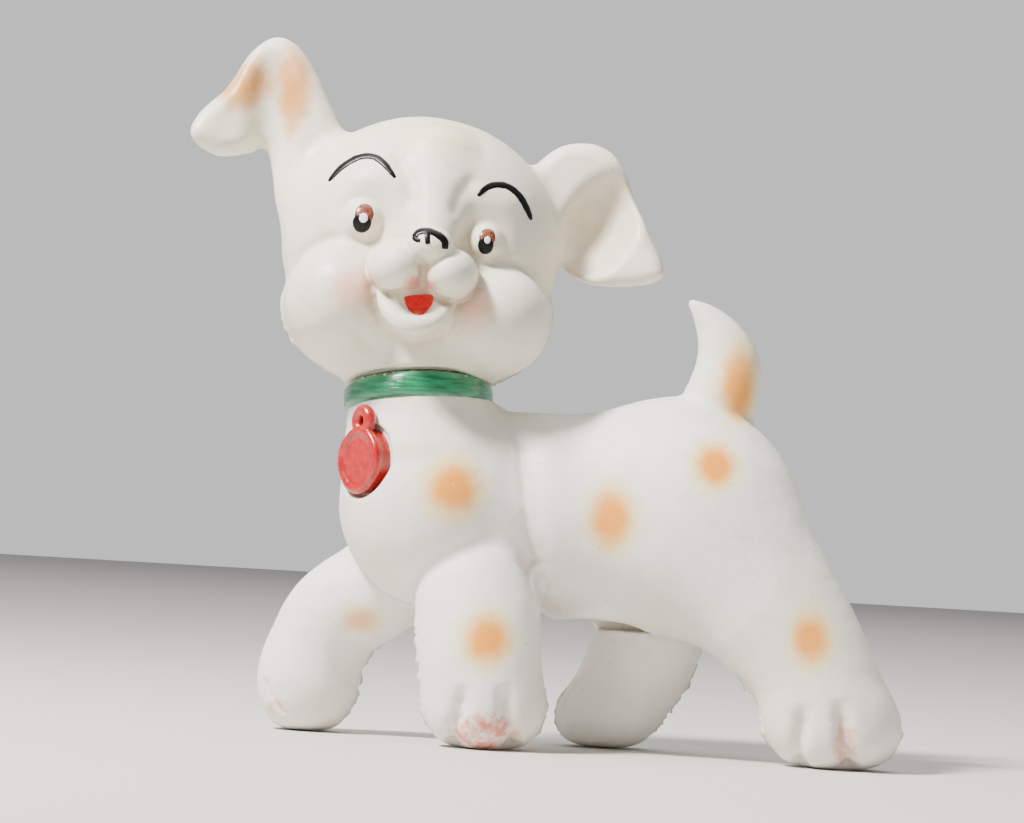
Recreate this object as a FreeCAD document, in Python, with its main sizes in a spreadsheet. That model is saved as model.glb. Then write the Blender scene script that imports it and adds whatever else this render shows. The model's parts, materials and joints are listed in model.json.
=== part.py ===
"""A squeezable rubber puppy with a turning head, bending ears and tail, and a squeaker in its belly.

Millimetres. +Z is up, the puppy walks towards -X, and its head is turned to look towards -Y.
The origin is on the ground, below the middle of its outline.
"""

import FreeCAD, Part
import os
import Sketcher
from FreeCAD import Placement, Rotation, Vector

doc = FreeCAD.newDocument("squeaky_puppy")

# Driving dimensions: name, value in millimetres or degrees, what it sets.
SIZES = [
    ("wall", 2.6, "thickness of the moulded rubber skin"),
    ("play", 0.4, "gap between a piece that moves and what it moves in"),
    # torso, an egg shape lying along X
    ("torso_length", 99.5, "chest front to rump"),
    ("chest_x", -43.5, "front of the chest"),
    ("torso_z", 55.3, "height of the torso's middle line"),
    ("chest_height", 46.0, "height of the torso at the shoulders"),
    ("chest_width", 46.0, "width of the torso at the shoulders"),
    ("waist_height", 44.5, "height of the torso behind the shoulders"),
    ("waist_width", 41.5, "width of the torso behind the shoulders"),
    ("haunch_height", 52.5, "height of the torso at the hips"),
    ("haunch_width", 47.0, "width of the torso at the hips"),
    # legs, one section after another from the body to the flat sole
    ("stance", 36.0, "distance between the left and right soles"),
    ("leg_thickness", 21.0, "front leg from its inner to its outer side"),
    ("front_leg_width", 25.8, "straight front leg seen from the side"),
    ("front_paw_length", 26.0, "paw of the straight front leg"),
    ("rear_leg_width", 25.0, "stretched rear leg seen from the side"),
    ("rear_paw_length", 27.2, "paw of the stretched rear leg"),
    ("raised_arm_width", 20.0, "bent front leg above its wrist"),
    ("raised_paw_length", 24.0, "paw of the bent front leg"),
    ("far_rear_width", 23.4, "bent rear leg seen from the side"),
    ("far_rear_paw_length", 25.4, "paw of the bent rear leg"),
    ("front_foot_x", -7.3, "middle of the straight front foot"),
    ("rear_foot_x", 72.0, "middle of the stretched rear foot"),
    ("raised_foot_x", -50.0, "middle of the bent front foot"),
    ("far_rear_foot_x", 21.5, "middle of the bent rear foot"),
    # neck
    ("neck_x", -27.3, "middle of the collar"),
    ("neck_z", 79.4, "height of the middle of the collar"),
    ("neck_lean_forward", 4.0, "lean of the neck towards the chest"),
    ("neck_lean_side", 10.0, "lean of the neck away from where the face looks"),
    ("neck_radius", 14.8, "outside of the neck under the collar"),
    ("neck_depth", 9.0, "length of neck ring below the collar's middle"),
    ("throat_width", 33.4, "front to back of the neck just below the collar"),
    ("collar_height", 6.4, "height of the collar band"),
    ("collar_thickness", 2.0, "how far the collar band stands out"),
    ("spigot_radius", 10.5, "post that the head turns on"),
    ("spigot_wall", 2.4, "wall of that post"),
    ("lip_width", 2.2, "snap lip at the top of the post"),
    ("lip_height", 2.4, "height of the snap lip"),
    ("socket_height", 4.0, "height of the bush in the head"),
    # head, a wide-cheeked egg standing on the neck
    ("head_height", 64.5, "rim of the head's mouth to its crown"),
    ("head_width", 65.4, "over the cheeks"),
    ("head_depth", 52.0, "forehead to the back of the head"),
    ("mouth_radius", 17.4, "outside of the head's lower rim"),
    ("muzzle_width", 25.0, "over both whisker pads"),
    ("muzzle_length", 15.0, "how far the muzzle stands out of the face"),
    # ears
    ("ear_thickness", 6.2, "thickness of both ears"),
    ("ear_root_radius", 3.7, "rounded root that an ear bends about"),
    ("droop_root_x", 27.6, "root of the drooping ear, from the neck's axis"),
    ("droop_root_z", 47.5, "root of the drooping ear above the collar"),
    ("droop_root_length", 13.0, "straight part of the drooping ear's root"),
    ("droop_ear_reach", 24.1, "drooping ear from its root outwards"),
    ("droop_ear_drop", 25.3, "lowest point of the ear below the middle of its root"),
    ("droop_ear_crown", 11.5, "highest point of the ear above the middle of its root"),
    ("raised_root_x", -25.6, "root of the raised ear, from the neck's axis"),
    ("raised_root_z", 50.8, "root of the raised ear above the collar"),
    ("raised_root_length", 17.0, "straight part of the raised ear's root"),
    ("raised_ear_reach", 32.5, "raised ear from its root to the fold's outer edge"),
    ("raised_ear_top", 26.0, "top of the fold, along the root's direction"),
    ("flap_drop", 8.6, "end of the folded tip, the other way along the root"),
    ("ear_rounding", 2.2, "rounding of the ears' rims"),
    ("ear_corner", 4.0, "rounding of the ears' outlines"),
    # tail, a curved horn
    ("tail_x", 40.7, "middle of the tail's root"),
    ("tail_z", 77.4, "height of the middle of the tail's root"),
    ("tail_root_radius", 8.2, "ball root that the tail bends about"),
    ("tail_rise", 28.4, "tip of the tail above its root"),
    # name tag
    ("tag_radius", 9.0, "medallion"),
    ("tag_thickness", 3.2, "medallion's rim"),
    ("tag_face_depth", 0.9, "how deep its face lies inside the rim"),
    ("tag_rim_width", 1.4, "width of that rim"),
    ("tag_turn", 48.0, "how far round the chest the medallion is turned"),
    ("tag_z", 62.5, "height of the middle of the medallion"),
    ("tag_ring_radius", 3.1, "middle of the ring above the medallion"),
    ("tag_wire_radius", 1.5, "thickness of that ring, half of it"),
    # squeaker in the belly
    ("squeaker_x", 20.0, "middle of the squeaker"),
    ("squeaker_z", 31.0, "height of the squeaker's lid"),
    ("can_radius", 9.0, "outside of the tin can"),
    ("can_height", 9.0, "height of the tin can"),
    ("tin", 0.5, "thickness of the tin"),
    ("grommet_wall", 2.0, "rubber round the can"),
    ("grommet_height", 5.0, "height of the rubber seat"),
    ("vent_radius", 0.8, "vent holes of the lid"),
    ("vent_circle", 4.6, "circle that the vent holes stand on"),
    ("vent_count", 6, "number of those holes"),
    ("reed_length", 9.0, "free length of the reed"),
    ("reed_width", 4.6, "width of the reed"),
    ("reed_thickness", 0.3, "thickness of the reed"),
    ("reed_gap", 0.3, "air gap between the reed and its channel"),
    ("channel_radius", 2.6, "half round channel under the reed"),
    ("channel_wall", 0.6, "wall of that channel"),
    ("clip_length", 2.6, "block that clamps the reed"),
    ("clip_height", 1.6, "height of that block"),
]

sheet = doc.addObject("Spreadsheet::Sheet", "sizes")
for row, (alias, value, meaning) in enumerate(SIZES, start=1):
    sheet.set(f"A{row}", alias)
    sheet.set(f"B{row}", str(value))
    sheet.set(f"C{row}", meaning)
    sheet.setAlias(f"B{row}", alias)
doc.recompute()

SIDEWAYS = Vector(0, 1, 0)
UPRIGHT_SECTION = "-90"  # turn that stands a section across the X axis
FAR = 200  # larger than the whole puppy
GROUND = "0"


def bind(thing, **formulas):
    """Tie properties of an object to formulas that read the sheet."""
    for name, formula in formulas.items():
        thing.setExpression(name, formula)
    return thing


def place(thing, x="0", y="0", z="0", turn=None):
    """Put an object at x, y, z, turned about the Y axis by a formula in degrees."""
    for axis, formula in zip("xyz", (x, y, z)):
        thing.setExpression(f"Placement.Base.{axis}", formula)
    if turn is not None:
        thing.Placement = Placement(Vector(), Rotation(SIDEWAYS, 1))
        thing.setExpression("Placement.Rotation.Angle", turn)
    return thing


def value_of(formula):
    """The number that a formula gives with the sheet's present values."""
    return float(getattr(sheet.evalExpression(formula), "Value", sheet.evalExpression(formula)))


def section(name, long_half, short_half, x, y, z, turn):
    """An ellipse whose long axis lies in the XZ plane, at `turn` degrees from the X axis.

    The long half is never less than the short one, as an ellipse needs.
    """
    ellipse = doc.addObject("Part::Ellipse", name)
    bind(ellipse, MajorRadius=f"max({long_half}; {short_half})", MinorRadius=short_half)
    return place(ellipse, x, y, z, turn)


def loft(name, rows, inset="0"):
    """A solid through a row of sections, drawn smaller all round by `inset`."""
    ellipses = []
    for number, (long_half, short_half, x, y, z, turn) in enumerate(rows):
        halves = (f"{long_half} - {inset}", f"{short_half} - {inset}")
        ellipses.append(section(f"{name}_{number}", *halves, x, y, z, turn))
    solid = doc.addObject("Part::Loft", name)
    solid.Sections = ellipses
    solid.Solid = True
    solid.Ruled = True
    return solid


def join(name, *pieces):
    """One solid of several."""
    solid = doc.addObject("Part::MultiFuse", name)
    solid.Shapes = list(pieces)
    return solid


def cut(name, base, tool):
    """`base` with `tool` taken away."""
    solid = doc.addObject("Part::Cut", name)
    solid.Base = base
    solid.Tool = tool
    return solid


def cylinder(name, radius, height, z="0"):
    """A cylinder standing on height z of its own frame."""
    solid = bind(doc.addObject("Part::Cylinder", name), Radius=radius, Height=height)
    return place(solid, z=z)


def ball(name, radius, x="0", y="0", z="0"):
    """A sphere."""
    return place(bind(doc.addObject("Part::Sphere", name), Radius=radius), x, y, z)


def egg(name, half_x, half_y, half_z, x, y, z):
    """An ellipsoid with its axes along X, Y and Z."""
    solid = doc.addObject("Part::Ellipsoid", name)
    solid.Angle1 = -90
    bind(solid, Radius1=half_z, Radius2=half_x, Radius3=half_y)
    return place(solid, x, y, z)


def half_space(name, side):
    """A block that fills everything on one side (-1 or 1) of the parting plane y = 0."""
    block = doc.addObject("Part::Box", name)
    block.Length = block.Width = block.Height = 2 * FAR
    block.Placement.Base = Vector(-FAR, 0 if side > 0 else -2 * FAR, -FAR)
    return block


def copy_at(name, source, frame):
    """The same solid, moved with its own place into a frame."""
    solid = doc.addObject("Part::Compound", name)
    solid.Links = [source]
    solid.setExpression("Placement", f"{frame.Name}.Placement")
    return solid


def frame_at(name, x, y, z, yaw="0", pitch="0", roll="0", parent=None):
    """A place to build at: rolled about X, then pitched about Y, then yawed about Z."""
    frame = doc.addObject("Part::Vertex", name)
    here = f"placement(vector({x}; {y}; {z}); rotation({yaw}; {pitch}; {roll}))"
    frame.setExpression("Placement", f"{parent.Name}.Placement * {here}" if parent else here)
    return frame


def sub_part(solid, label, frame=None):
    """Name a finished piece, and stand it in its frame."""
    solid.Label = label
    if frame is not None:
        solid.setExpression("Placement", f"{frame.Name}.Placement")
    parts.append(solid)
    return solid


parts = []

# ---------------------------------------------------------------- frames

neck = frame_at(
    "neck_frame",
    "sizes.neck_x",
    "0",
    "sizes.neck_z",
    roll="-sizes.neck_lean_side",
    pitch="-sizes.neck_lean_forward",
)
squeaker = frame_at("squeaker_frame", "sizes.squeaker_x", "0", "sizes.squeaker_z")
tail_frame = frame_at("tail_frame", "sizes.tail_x", "0", "sizes.tail_z")
DROOP_LEAN = "-21"  # the drooping ear's root leans towards the crown
RAISED_LEAN = "32"
droop_frame = frame_at(
    "droop_frame", "sizes.droop_root_x", "0", "sizes.droop_root_z", pitch=DROOP_LEAN, parent=neck
)
raised_frame = frame_at(
    "raised_frame", "sizes.raised_root_x", "0", "sizes.raised_root_z", pitch=RAISED_LEAN, parent=neck
)

# ---------------------------------------------------------------- rings turned about an axis


def origin_plane(body, role):
    """One of a body's own origin planes, found by its role."""
    return next(feature for feature in body.Origin.OriginFeatures if feature.Role == role)


def draw_outline(sketch, outline):
    """Draw a closed polygon whose corners are (across, up) formulas, measured from the origin."""
    corners = [Vector(value_of(across), value_of(up), 0) for across, up in outline]
    count = len(corners)
    for start, end in zip(corners, corners[1:] + corners[:1]):
        sketch.addGeometry(Part.LineSegment(start, end), False)
    for number in range(count):
        sketch.addConstraint(Sketcher.Constraint("Coincident", number, 2, (number + 1) % count, 1))
    for number, (across, up) in enumerate(outline):
        sideways = Sketcher.Constraint("DistanceX", -1, 1, number, 1, corners[number].x)
        sketch.setExpression(f"Constraints[{sketch.addConstraint(sideways)}]", across)
        upwards = Sketcher.Constraint("DistanceY", -1, 1, number, 1, corners[number].y)
        sketch.setExpression(f"Constraints[{sketch.addConstraint(upwards)}]", up)


def turned(label, outline):
    """Turn a closed outline of (radius, height) formulas about the Z axis of its body."""
    body = doc.addObject("PartDesign::Body", label)
    sketch = body.newObject("Sketcher::SketchObject", f"{label}_outline")
    sketch.AttachmentSupport = (origin_plane(body, "XZ_Plane"), [""])
    sketch.MapMode = "FlatFace"
    draw_outline(sketch, outline)
    ring = body.newObject("PartDesign::Revolution", f"{label}_ring")
    ring.Profile = sketch
    ring.ReferenceAxis = (sketch, ["V_Axis"])
    ring.Angle = 360
    return body


def tube_outline(inner, outer, low, high):
    """The four corners of a plain ring."""
    return [(inner, low), (outer, low), (outer, high), (inner, high)]


# ---------------------------------------------------------------- body

TORSO = [  # share of the length, half height, half width, rise of the middle line
    (0.000, "sizes.chest_height * 0.15", "sizes.chest_width * 0.14", "-1"),
    (0.035, "sizes.chest_height * 0.33", "sizes.chest_width * 0.31", "-1"),
    (0.110, "sizes.chest_height * 0.46", "sizes.chest_width * 0.43", "-1"),
    (0.220, "sizes.chest_height / 2", "sizes.chest_width / 2", "-0.8"),
    (0.360, "sizes.chest_height / 2", "sizes.chest_width / 2", "-0.6"),
    (0.480, "sizes.waist_height / 2", "sizes.waist_width / 2", "-0.4"),
    (0.630, "sizes.haunch_height * 0.48", "sizes.haunch_width * 0.47", "0.4"),
    (0.780, "sizes.haunch_height / 2", "sizes.haunch_width / 2", "0.2"),
    (0.880, "sizes.haunch_height * 0.44", "sizes.haunch_width * 0.43", "-1.2"),
    (0.955, "sizes.haunch_height * 0.31", "sizes.haunch_width * 0.30", "-3"),
    (1.000, "sizes.haunch_height * 0.15", "sizes.haunch_width * 0.14", "-4"),
]


def torso(name, inset):
    """The torso's egg, with its ends drawn in by `inset` too."""
    rows = []
    for share, half_height, half_width, rise in TORSO:
        x = f"sizes.chest_x + {inset} + {share} * (sizes.torso_length - 2 * {inset})"
        shrink = 1 if 0 < share < 1 else 0.4
        rows.append(
            (
                f"{half_height} + (1 - {shrink}) * {inset}",
                f"{half_width} + (1 - {shrink}) * {inset}",
                x,
                "0",
                f"sizes.torso_z + {rise}",
                UPRIGHT_SECTION,
            )
        )
    return loft(name, rows, inset)


THROAT = [  # half width and half depth as shares of the throat, x from the collar, height from the collar
    (0.45, 0.45, "5", "-45"),
    (0.56, 0.525, "3", "-37"),
    (0.55, 0.55, "1.8", "-24"),
    (0.525, 0.525, "0.6", "-12"),
    (0.50, 0.50, "0", "4"),
]


def throat(name, inset):
    """The upright column that carries the collar and runs down into the chest."""
    rows = []
    for number, (width, depth, x, rise) in enumerate(THROAT):
        floor = f"2 * {inset}" if number == 0 else "0"
        rows.append(
            (
                f"sizes.throat_width * {width}",
                f"sizes.throat_width * {depth}",
                f"sizes.neck_x + {x}",
                "0",
                f"sizes.neck_z + {rise} + {floor}",
                "0",
            )
        )
    return loft(name, rows, inset)


def leg(name, rows, side, inset):
    """A leg through sections of (half width, half thickness, x, share of the stance, z, turn)."""
    sections = []
    for number, (half_width, half_thickness, x, spread, z, turn) in enumerate(rows):
        sole = number == len(rows) - 1
        sections.append(
            (
                half_width,
                half_thickness,
                x,
                f"{side} * {spread} * sizes.stance / 2",
                f"{z} + {inset}" if sole else z,
                turn,
            )
        )
    return loft(name, sections, inset)


THICK = "sizes.leg_thickness"
# Sections of each leg: half width, half thickness, x, share of the stance, height, turn in degrees.
NEAR_FRONT_LEG = [
    ("sizes.front_leg_width * 0.40", f"{THICK} * 0.38", "sizes.front_foot_x - 4", 0.72, "56", "0"),
    ("sizes.front_leg_width * 0.50", f"{THICK} * 0.46", "sizes.front_foot_x - 4", 0.86, "44", "0"),
    ("sizes.front_leg_width * 0.51", f"{THICK} * 0.50", "sizes.front_foot_x - 3.8", 0.95, "31", "0"),
    ("sizes.front_leg_width * 0.49", f"{THICK} * 0.50", "sizes.front_foot_x - 2", 1.0, "20", "0"),
    ("sizes.front_paw_length * 0.50", f"{THICK} * 0.55", "sizes.front_foot_x", 1.0, "9", "0"),
    ("sizes.front_paw_length * 0.50", f"{THICK} * 0.56", "sizes.front_foot_x", 1.0, "5", "0"),
    ("sizes.front_paw_length * 0.44", f"{THICK} * 0.48", "sizes.front_foot_x", 1.0, "1.6", "0"),
    ("sizes.front_paw_length * 0.35", f"{THICK} * 0.36", "sizes.front_foot_x", 1.0, GROUND, "0"),
]
NEAR_REAR_LEG = [
    ("sizes.rear_leg_width * 0.42", f"{THICK} * 0.42", "sizes.rear_foot_x - 26", 0.62, "50", "-42"),
    ("sizes.rear_leg_width * 0.51", f"{THICK} * 0.54", "sizes.rear_foot_x - 17.5", 0.80, "39", "-38"),
    ("sizes.rear_leg_width * 0.49", f"{THICK} * 0.50", "sizes.rear_foot_x - 8.2", 0.93, "28.5", "-35"),
    ("sizes.rear_leg_width * 0.48", f"{THICK} * 0.50", "sizes.rear_foot_x - 3", 1.0, "19.5", "-22"),
    ("sizes.rear_paw_length * 0.49", f"{THICK} * 0.54", "sizes.rear_foot_x - 0.4", 1.0, "10", "-4"),
    ("sizes.rear_paw_length * 0.50", f"{THICK} * 0.56", "sizes.rear_foot_x", 1.0, "5", "0"),
    ("sizes.rear_paw_length * 0.44", f"{THICK} * 0.48", "sizes.rear_foot_x + 0.5", 1.0, "1.6", "0"),
    ("sizes.rear_paw_length * 0.35", f"{THICK} * 0.36", "sizes.rear_foot_x + 1", 1.0, GROUND, "0"),
]
FAR_FRONT_LEG = [
    ("sizes.raised_arm_width * 0.50", f"{THICK} * 0.40", "sizes.raised_foot_x + 24", 0.72, "43", "52"),
    ("sizes.raised_arm_width * 0.50", f"{THICK} * 0.44", "sizes.raised_foot_x + 15", 0.86, "36.5", "54"),
    ("sizes.raised_arm_width * 0.49", f"{THICK} * 0.45", "sizes.raised_foot_x + 6.5", 0.95, "30", "46"),
    ("sizes.raised_paw_length * 0.47", f"{THICK} * 0.51", "sizes.raised_foot_x + 1", 1.0, "21.5", "22"),
    ("sizes.raised_paw_length * 0.50", f"{THICK} * 0.53", "sizes.raised_foot_x", 1.0, "12.5", "0"),
    ("sizes.raised_paw_length * 0.46", f"{THICK} * 0.51", "sizes.raised_foot_x", 1.0, "5.5", "0"),
    ("sizes.raised_paw_length * 0.38", f"{THICK} * 0.42", "sizes.raised_foot_x + 0.6", 1.0, "1.6", "0"),
    ("sizes.raised_paw_length * 0.29", f"{THICK} * 0.31", "sizes.raised_foot_x + 1", 1.0, GROUND, "0"),
]
FAR_REAR_LEG = [
    ("sizes.far_rear_width * 0.48", f"{THICK} * 0.42", "sizes.far_rear_foot_x + 11", 0.70, "43", "0"),
    ("sizes.far_rear_width * 0.50", f"{THICK} * 0.50", "sizes.far_rear_foot_x + 9", 0.88, "31", "0"),
    ("sizes.far_rear_width * 0.50", f"{THICK} * 0.50", "sizes.far_rear_foot_x + 7.2", 0.96, "21", "10"),
    ("sizes.far_rear_width * 0.50", f"{THICK} * 0.51", "sizes.far_rear_foot_x + 3.4", 1.0, "13", "18"),
    ("sizes.far_rear_paw_length * 0.50", f"{THICK} * 0.52", "sizes.far_rear_foot_x", 1.0, "6.5", "8"),
    ("sizes.far_rear_paw_length * 0.43", f"{THICK} * 0.44", "sizes.far_rear_foot_x - 1.3", 1.0, "1.8", "0"),
    ("sizes.far_rear_paw_length * 0.36", f"{THICK} * 0.36", "sizes.far_rear_foot_x - 1.6", 1.0, GROUND, "0"),
]

COLLAR_ROOM = "sizes.neck_radius + sizes.collar_thickness + 2"
SQUEAKER_ROOM = "sizes.can_radius + sizes.grommet_wall"
neck_hole = copy_at(
    "neck_hole",
    join(
        "neck_bores",
        cylinder("neck_bore", "sizes.neck_radius", "3 * sizes.neck_depth", "-sizes.neck_depth"),
        cylinder("collar_bore", COLLAR_ROOM, "3 * sizes.neck_depth", "-sizes.collar_height / 2"),
    ),
    neck,
)
squeaker_hole = copy_at(
    "squeaker_hole",
    cylinder("squeaker_bore", SQUEAKER_ROOM, "4 * sizes.can_height", "-2 * sizes.can_height"),
    squeaker,
)
tail_hole = ball("tail_hole", "sizes.tail_root_radius + sizes.play", "sizes.tail_x", "0", "sizes.tail_z")


def body_half(label, side, front_leg, rear_leg):
    """One half of the hollow body with its two legs; side is -1 for the left half and 1 for the right."""
    other_side = half_space(f"{label}_other_side", -side)
    skins = {}
    for layer, inset in (("outer", "0"), ("inner", "sizes.wall")):
        name = f"{label}_{layer}"
        skins[layer] = join(
            name,
            cut(f"{name}_half_torso", torso(f"{name}_torso", inset), other_side),
            cut(f"{name}_half_throat", throat(f"{name}_throat", inset), other_side),
            leg(f"{name}_front", front_leg, side, inset),
            leg(f"{name}_rear", rear_leg, side, inset),
        )
    hollow = cut(f"{label}_hollow", skins["outer"], skins["inner"])
    trimmed = cut(f"{label}_trimmed", hollow, other_side)
    holes = join(f"{label}_holes", neck_hole, squeaker_hole, tail_hole)
    return sub_part(cut(f"{label}_cut", trimmed, holes), label)


body_half("body_left_half", -1, NEAR_FRONT_LEG, NEAR_REAR_LEG)
body_half("body_right_half", 1, FAR_FRONT_LEG, FAR_REAR_LEG)

# ---------------------------------------------------------------- neck, collar and the head's bush

COLLAR_TOP = "sizes.collar_height / 2"
SOCKET_LOW = f"{COLLAR_TOP} + sizes.play"
SOCKET_HIGH = f"{SOCKET_LOW} + sizes.socket_height"
LIP_LOW = f"{SOCKET_HIGH} + sizes.play"
LIP_HIGH = f"{LIP_LOW} + sizes.lip_height"
NECK_BORE = "sizes.spigot_radius - sizes.spigot_wall"

sub_part(
    turned(
        "neck_ring",
        [
            (NECK_BORE, "-sizes.neck_depth"),
            ("sizes.neck_radius", "-sizes.neck_depth"),
            ("sizes.neck_radius", COLLAR_TOP),
            ("sizes.spigot_radius", COLLAR_TOP),
            ("sizes.spigot_radius", LIP_LOW),
            ("sizes.spigot_radius + sizes.lip_width", LIP_LOW),
            ("sizes.spigot_radius + sizes.lip_width * 0.4", LIP_HIGH),
            (NECK_BORE, LIP_HIGH),
        ],
    ),
    "neck_ring",
    neck,
)
sub_part(
    turned(
        "collar_band",
        tube_outline(
            "sizes.neck_radius",
            "sizes.neck_radius + sizes.collar_thickness",
            "-sizes.collar_height / 2",
            COLLAR_TOP,
        ),
    ),
    "collar_band",
    neck,
)
sub_part(
    turned(
        "head_socket_ring",
        tube_outline(
            "sizes.spigot_radius + sizes.play",
            "sizes.mouth_radius - sizes.wall",
            SOCKET_LOW,
            SOCKET_HIGH,
        ),
    ),
    "head_socket_ring",
    neck,
)

# ---------------------------------------------------------------- name tag

THROAT_MIDDLE = "sizes.neck_x + 1.2"
TAG_BACK = "sizes.throat_width * 0.53"
tag_frame = frame_at(
    "tag_frame",
    f"{THROAT_MIDDLE} - ({TAG_BACK}) * cos(sizes.tag_turn)",
    f"-({TAG_BACK}) * sin(sizes.tag_turn)",
    "sizes.tag_z",
    yaw="sizes.tag_turn",
    pitch="-90",
)
TAG_FACE = "sizes.tag_thickness - sizes.tag_face_depth"
tag_blank = turned(
    "tag_blank",
    [
        ("0", "-sizes.tag_thickness"),
        ("sizes.tag_radius", "-sizes.tag_thickness"),
        ("sizes.tag_radius", "sizes.tag_thickness"),
        ("sizes.tag_radius - sizes.tag_rim_width", "sizes.tag_thickness"),
        ("sizes.tag_radius - sizes.tag_rim_width", TAG_FACE),
        ("0", TAG_FACE),
    ],
)
tag_blank.setExpression("Placement", "tag_frame.Placement")
chest = doc.getObject("body_left_half_outer")
sub_part(cut("tag_disc_cut", tag_blank, chest), "name_tag_disc")

tag_loop = doc.addObject("Part::Torus", "tag_loop")
bind(tag_loop, Radius1="sizes.tag_ring_radius", Radius2="sizes.tag_wire_radius")
RING_RISE = "sizes.tag_radius + sizes.tag_ring_radius * 0.7"
ring_middle = f"vector({RING_RISE}; 0; {TAG_FACE})"
tag_loop.setExpression("Placement", f"tag_frame.Placement * placement({ring_middle}; rotation(0; 0; 0))")
sub_part(cut("tag_ring_cut", tag_loop, tag_blank), "name_tag_ring")

# ---------------------------------------------------------------- head

HEAD = [  # share of the height, share of the width, share of the depth
    (0.05, 0.315, 0.37),
    (0.10, 0.385, 0.43),
    (0.20, 0.462, 0.475),
    (0.33, 0.498, 0.50),
    (0.48, 0.500, 0.50),
    (0.62, 0.478, 0.485),
    (0.76, 0.412, 0.425),
    (0.88, 0.302, 0.32),
    (0.96, 0.178, 0.19),
    (1.00, 0.060, 0.065),
]
HEAD_LOW = SOCKET_LOW


def head(name, inset):
    """The head's egg on its round mouth; the crown is drawn in by `inset` too."""
    rows = [("sizes.mouth_radius", "sizes.mouth_radius", "0", "0", HEAD_LOW, "0")]
    for share, width, depth in HEAD:
        rows.append(
            (
                f"sizes.head_width * {width}",
                f"sizes.head_depth * {depth}",
                "0",
                "0",
                f"{HEAD_LOW} + {share} * (sizes.head_height - {inset})",
                "0",
            )
        )
    return loft(name, rows, inset)


def capsule(name, radius, length):
    """A rounded bar along Z, its middle at the origin."""
    bar = cylinder(f"{name}_bar", radius, length, f"-({length}) / 2")
    low = ball(f"{name}_low", radius, z=f"-({length}) / 2")
    high = ball(f"{name}_high", radius, z=f"({length}) / 2")
    return join(name, bar, low, high)


def ear_recess(name, length, frame):
    """The room that an ear's rounded root needs, in the head's own frame."""
    room = capsule(f"{name}_room", "sizes.ear_root_radius + sizes.play", length)
    moved = doc.addObject("Part::Compound", name)
    moved.Links = [room]
    moved.setExpression("Placement", f"neck_frame.Placement^-1 * {frame.Name}.Placement")
    return moved


def head_half(label, side, features):
    """One half of the hollow head; side is -1 for the face and 1 for the back."""
    outer = head(f"{label}_outer", "0")
    if features:
        outer = join(f"{label}_features", outer, *features)
    hollow = cut(f"{label}_hollow", outer, head(f"{label}_inner", "sizes.wall"))
    holes = join(
        f"{label}_holes",
        half_space(f"{label}_rest", -side),
        ear_recess(f"{label}_droop_recess", "sizes.droop_root_length", droop_frame),
        ear_recess(f"{label}_raised_recess", "sizes.raised_root_length", raised_frame),
    )
    return sub_part(cut(f"{label}_cut", hollow, holes), label, neck)


MUZZLE_Z = "sizes.head_height * 0.39"
PAD_HALF = "sizes.muzzle_width * 0.30"
muzzle = [
    egg(
        f"whisker_pad_{number}",
        PAD_HALF,
        "sizes.muzzle_length * 1.2",
        "sizes.muzzle_width * 0.27",
        f"{side} * (sizes.muzzle_width / 2 - {PAD_HALF})",
        "-sizes.head_depth / 2 + sizes.muzzle_length * 0.4",
        f"{HEAD_LOW} + {MUZZLE_Z}",
    )
    for number, side in enumerate((-1, 1))
]
chin = egg(
    "chin",
    "sizes.muzzle_width * 0.28",
    "sizes.muzzle_length",
    "sizes.muzzle_width * 0.26",
    "0",
    "-sizes.head_depth / 2 + sizes.muzzle_length * 0.6",
    f"{HEAD_LOW} + {MUZZLE_Z} - sizes.muzzle_width * 0.34",
)
head_half("head_face_half", -1, [*muzzle, chin])
head_half("head_back_half", 1, [])

# ---------------------------------------------------------------- ears

def padded_ear(label, outline):
    """A flat leaf of (x, z) formulas with rounded corners and rims, as thick as both ears are."""
    body = doc.addObject("PartDesign::Body", label)
    sketch = body.newObject("Sketcher::SketchObject", f"{label}_outline")
    sketch.AttachmentSupport = (origin_plane(body, "XZ_Plane"), [""])
    sketch.MapMode = "FlatFace"
    draw_outline(sketch, outline)
    leaf = body.newObject("PartDesign::Pad", f"{label}_leaf")
    leaf.Profile = sketch
    leaf.Midplane = True
    leaf.setExpression("Length", "sizes.ear_thickness")
    doc.recompute()
    corners = body.newObject("PartDesign::Fillet", f"{label}_corners")
    upright = [f"Edge{n}" for n, edge in enumerate(leaf.Shape.Edges, 1) if runs_along(edge, SIDEWAYS)]
    corners.Base = (leaf, upright)
    corners.setExpression("Radius", "sizes.ear_corner")
    doc.recompute()
    rims = body.newObject("PartDesign::Fillet", f"{label}_rims")
    flat = [f"Edge{n}" for n, edge in enumerate(corners.Shape.Edges, 1) if not runs_along(edge, SIDEWAYS)]
    rims.Base = (corners, flat)
    rims.setExpression("Radius", "sizes.ear_rounding")
    return body


def runs_along(edge, direction):
    """Whether an edge is straight and parallel to a direction."""
    return isinstance(edge.Curve, Part.Line) and abs(edge.Curve.Direction.dot(direction)) > 0.999


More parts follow.
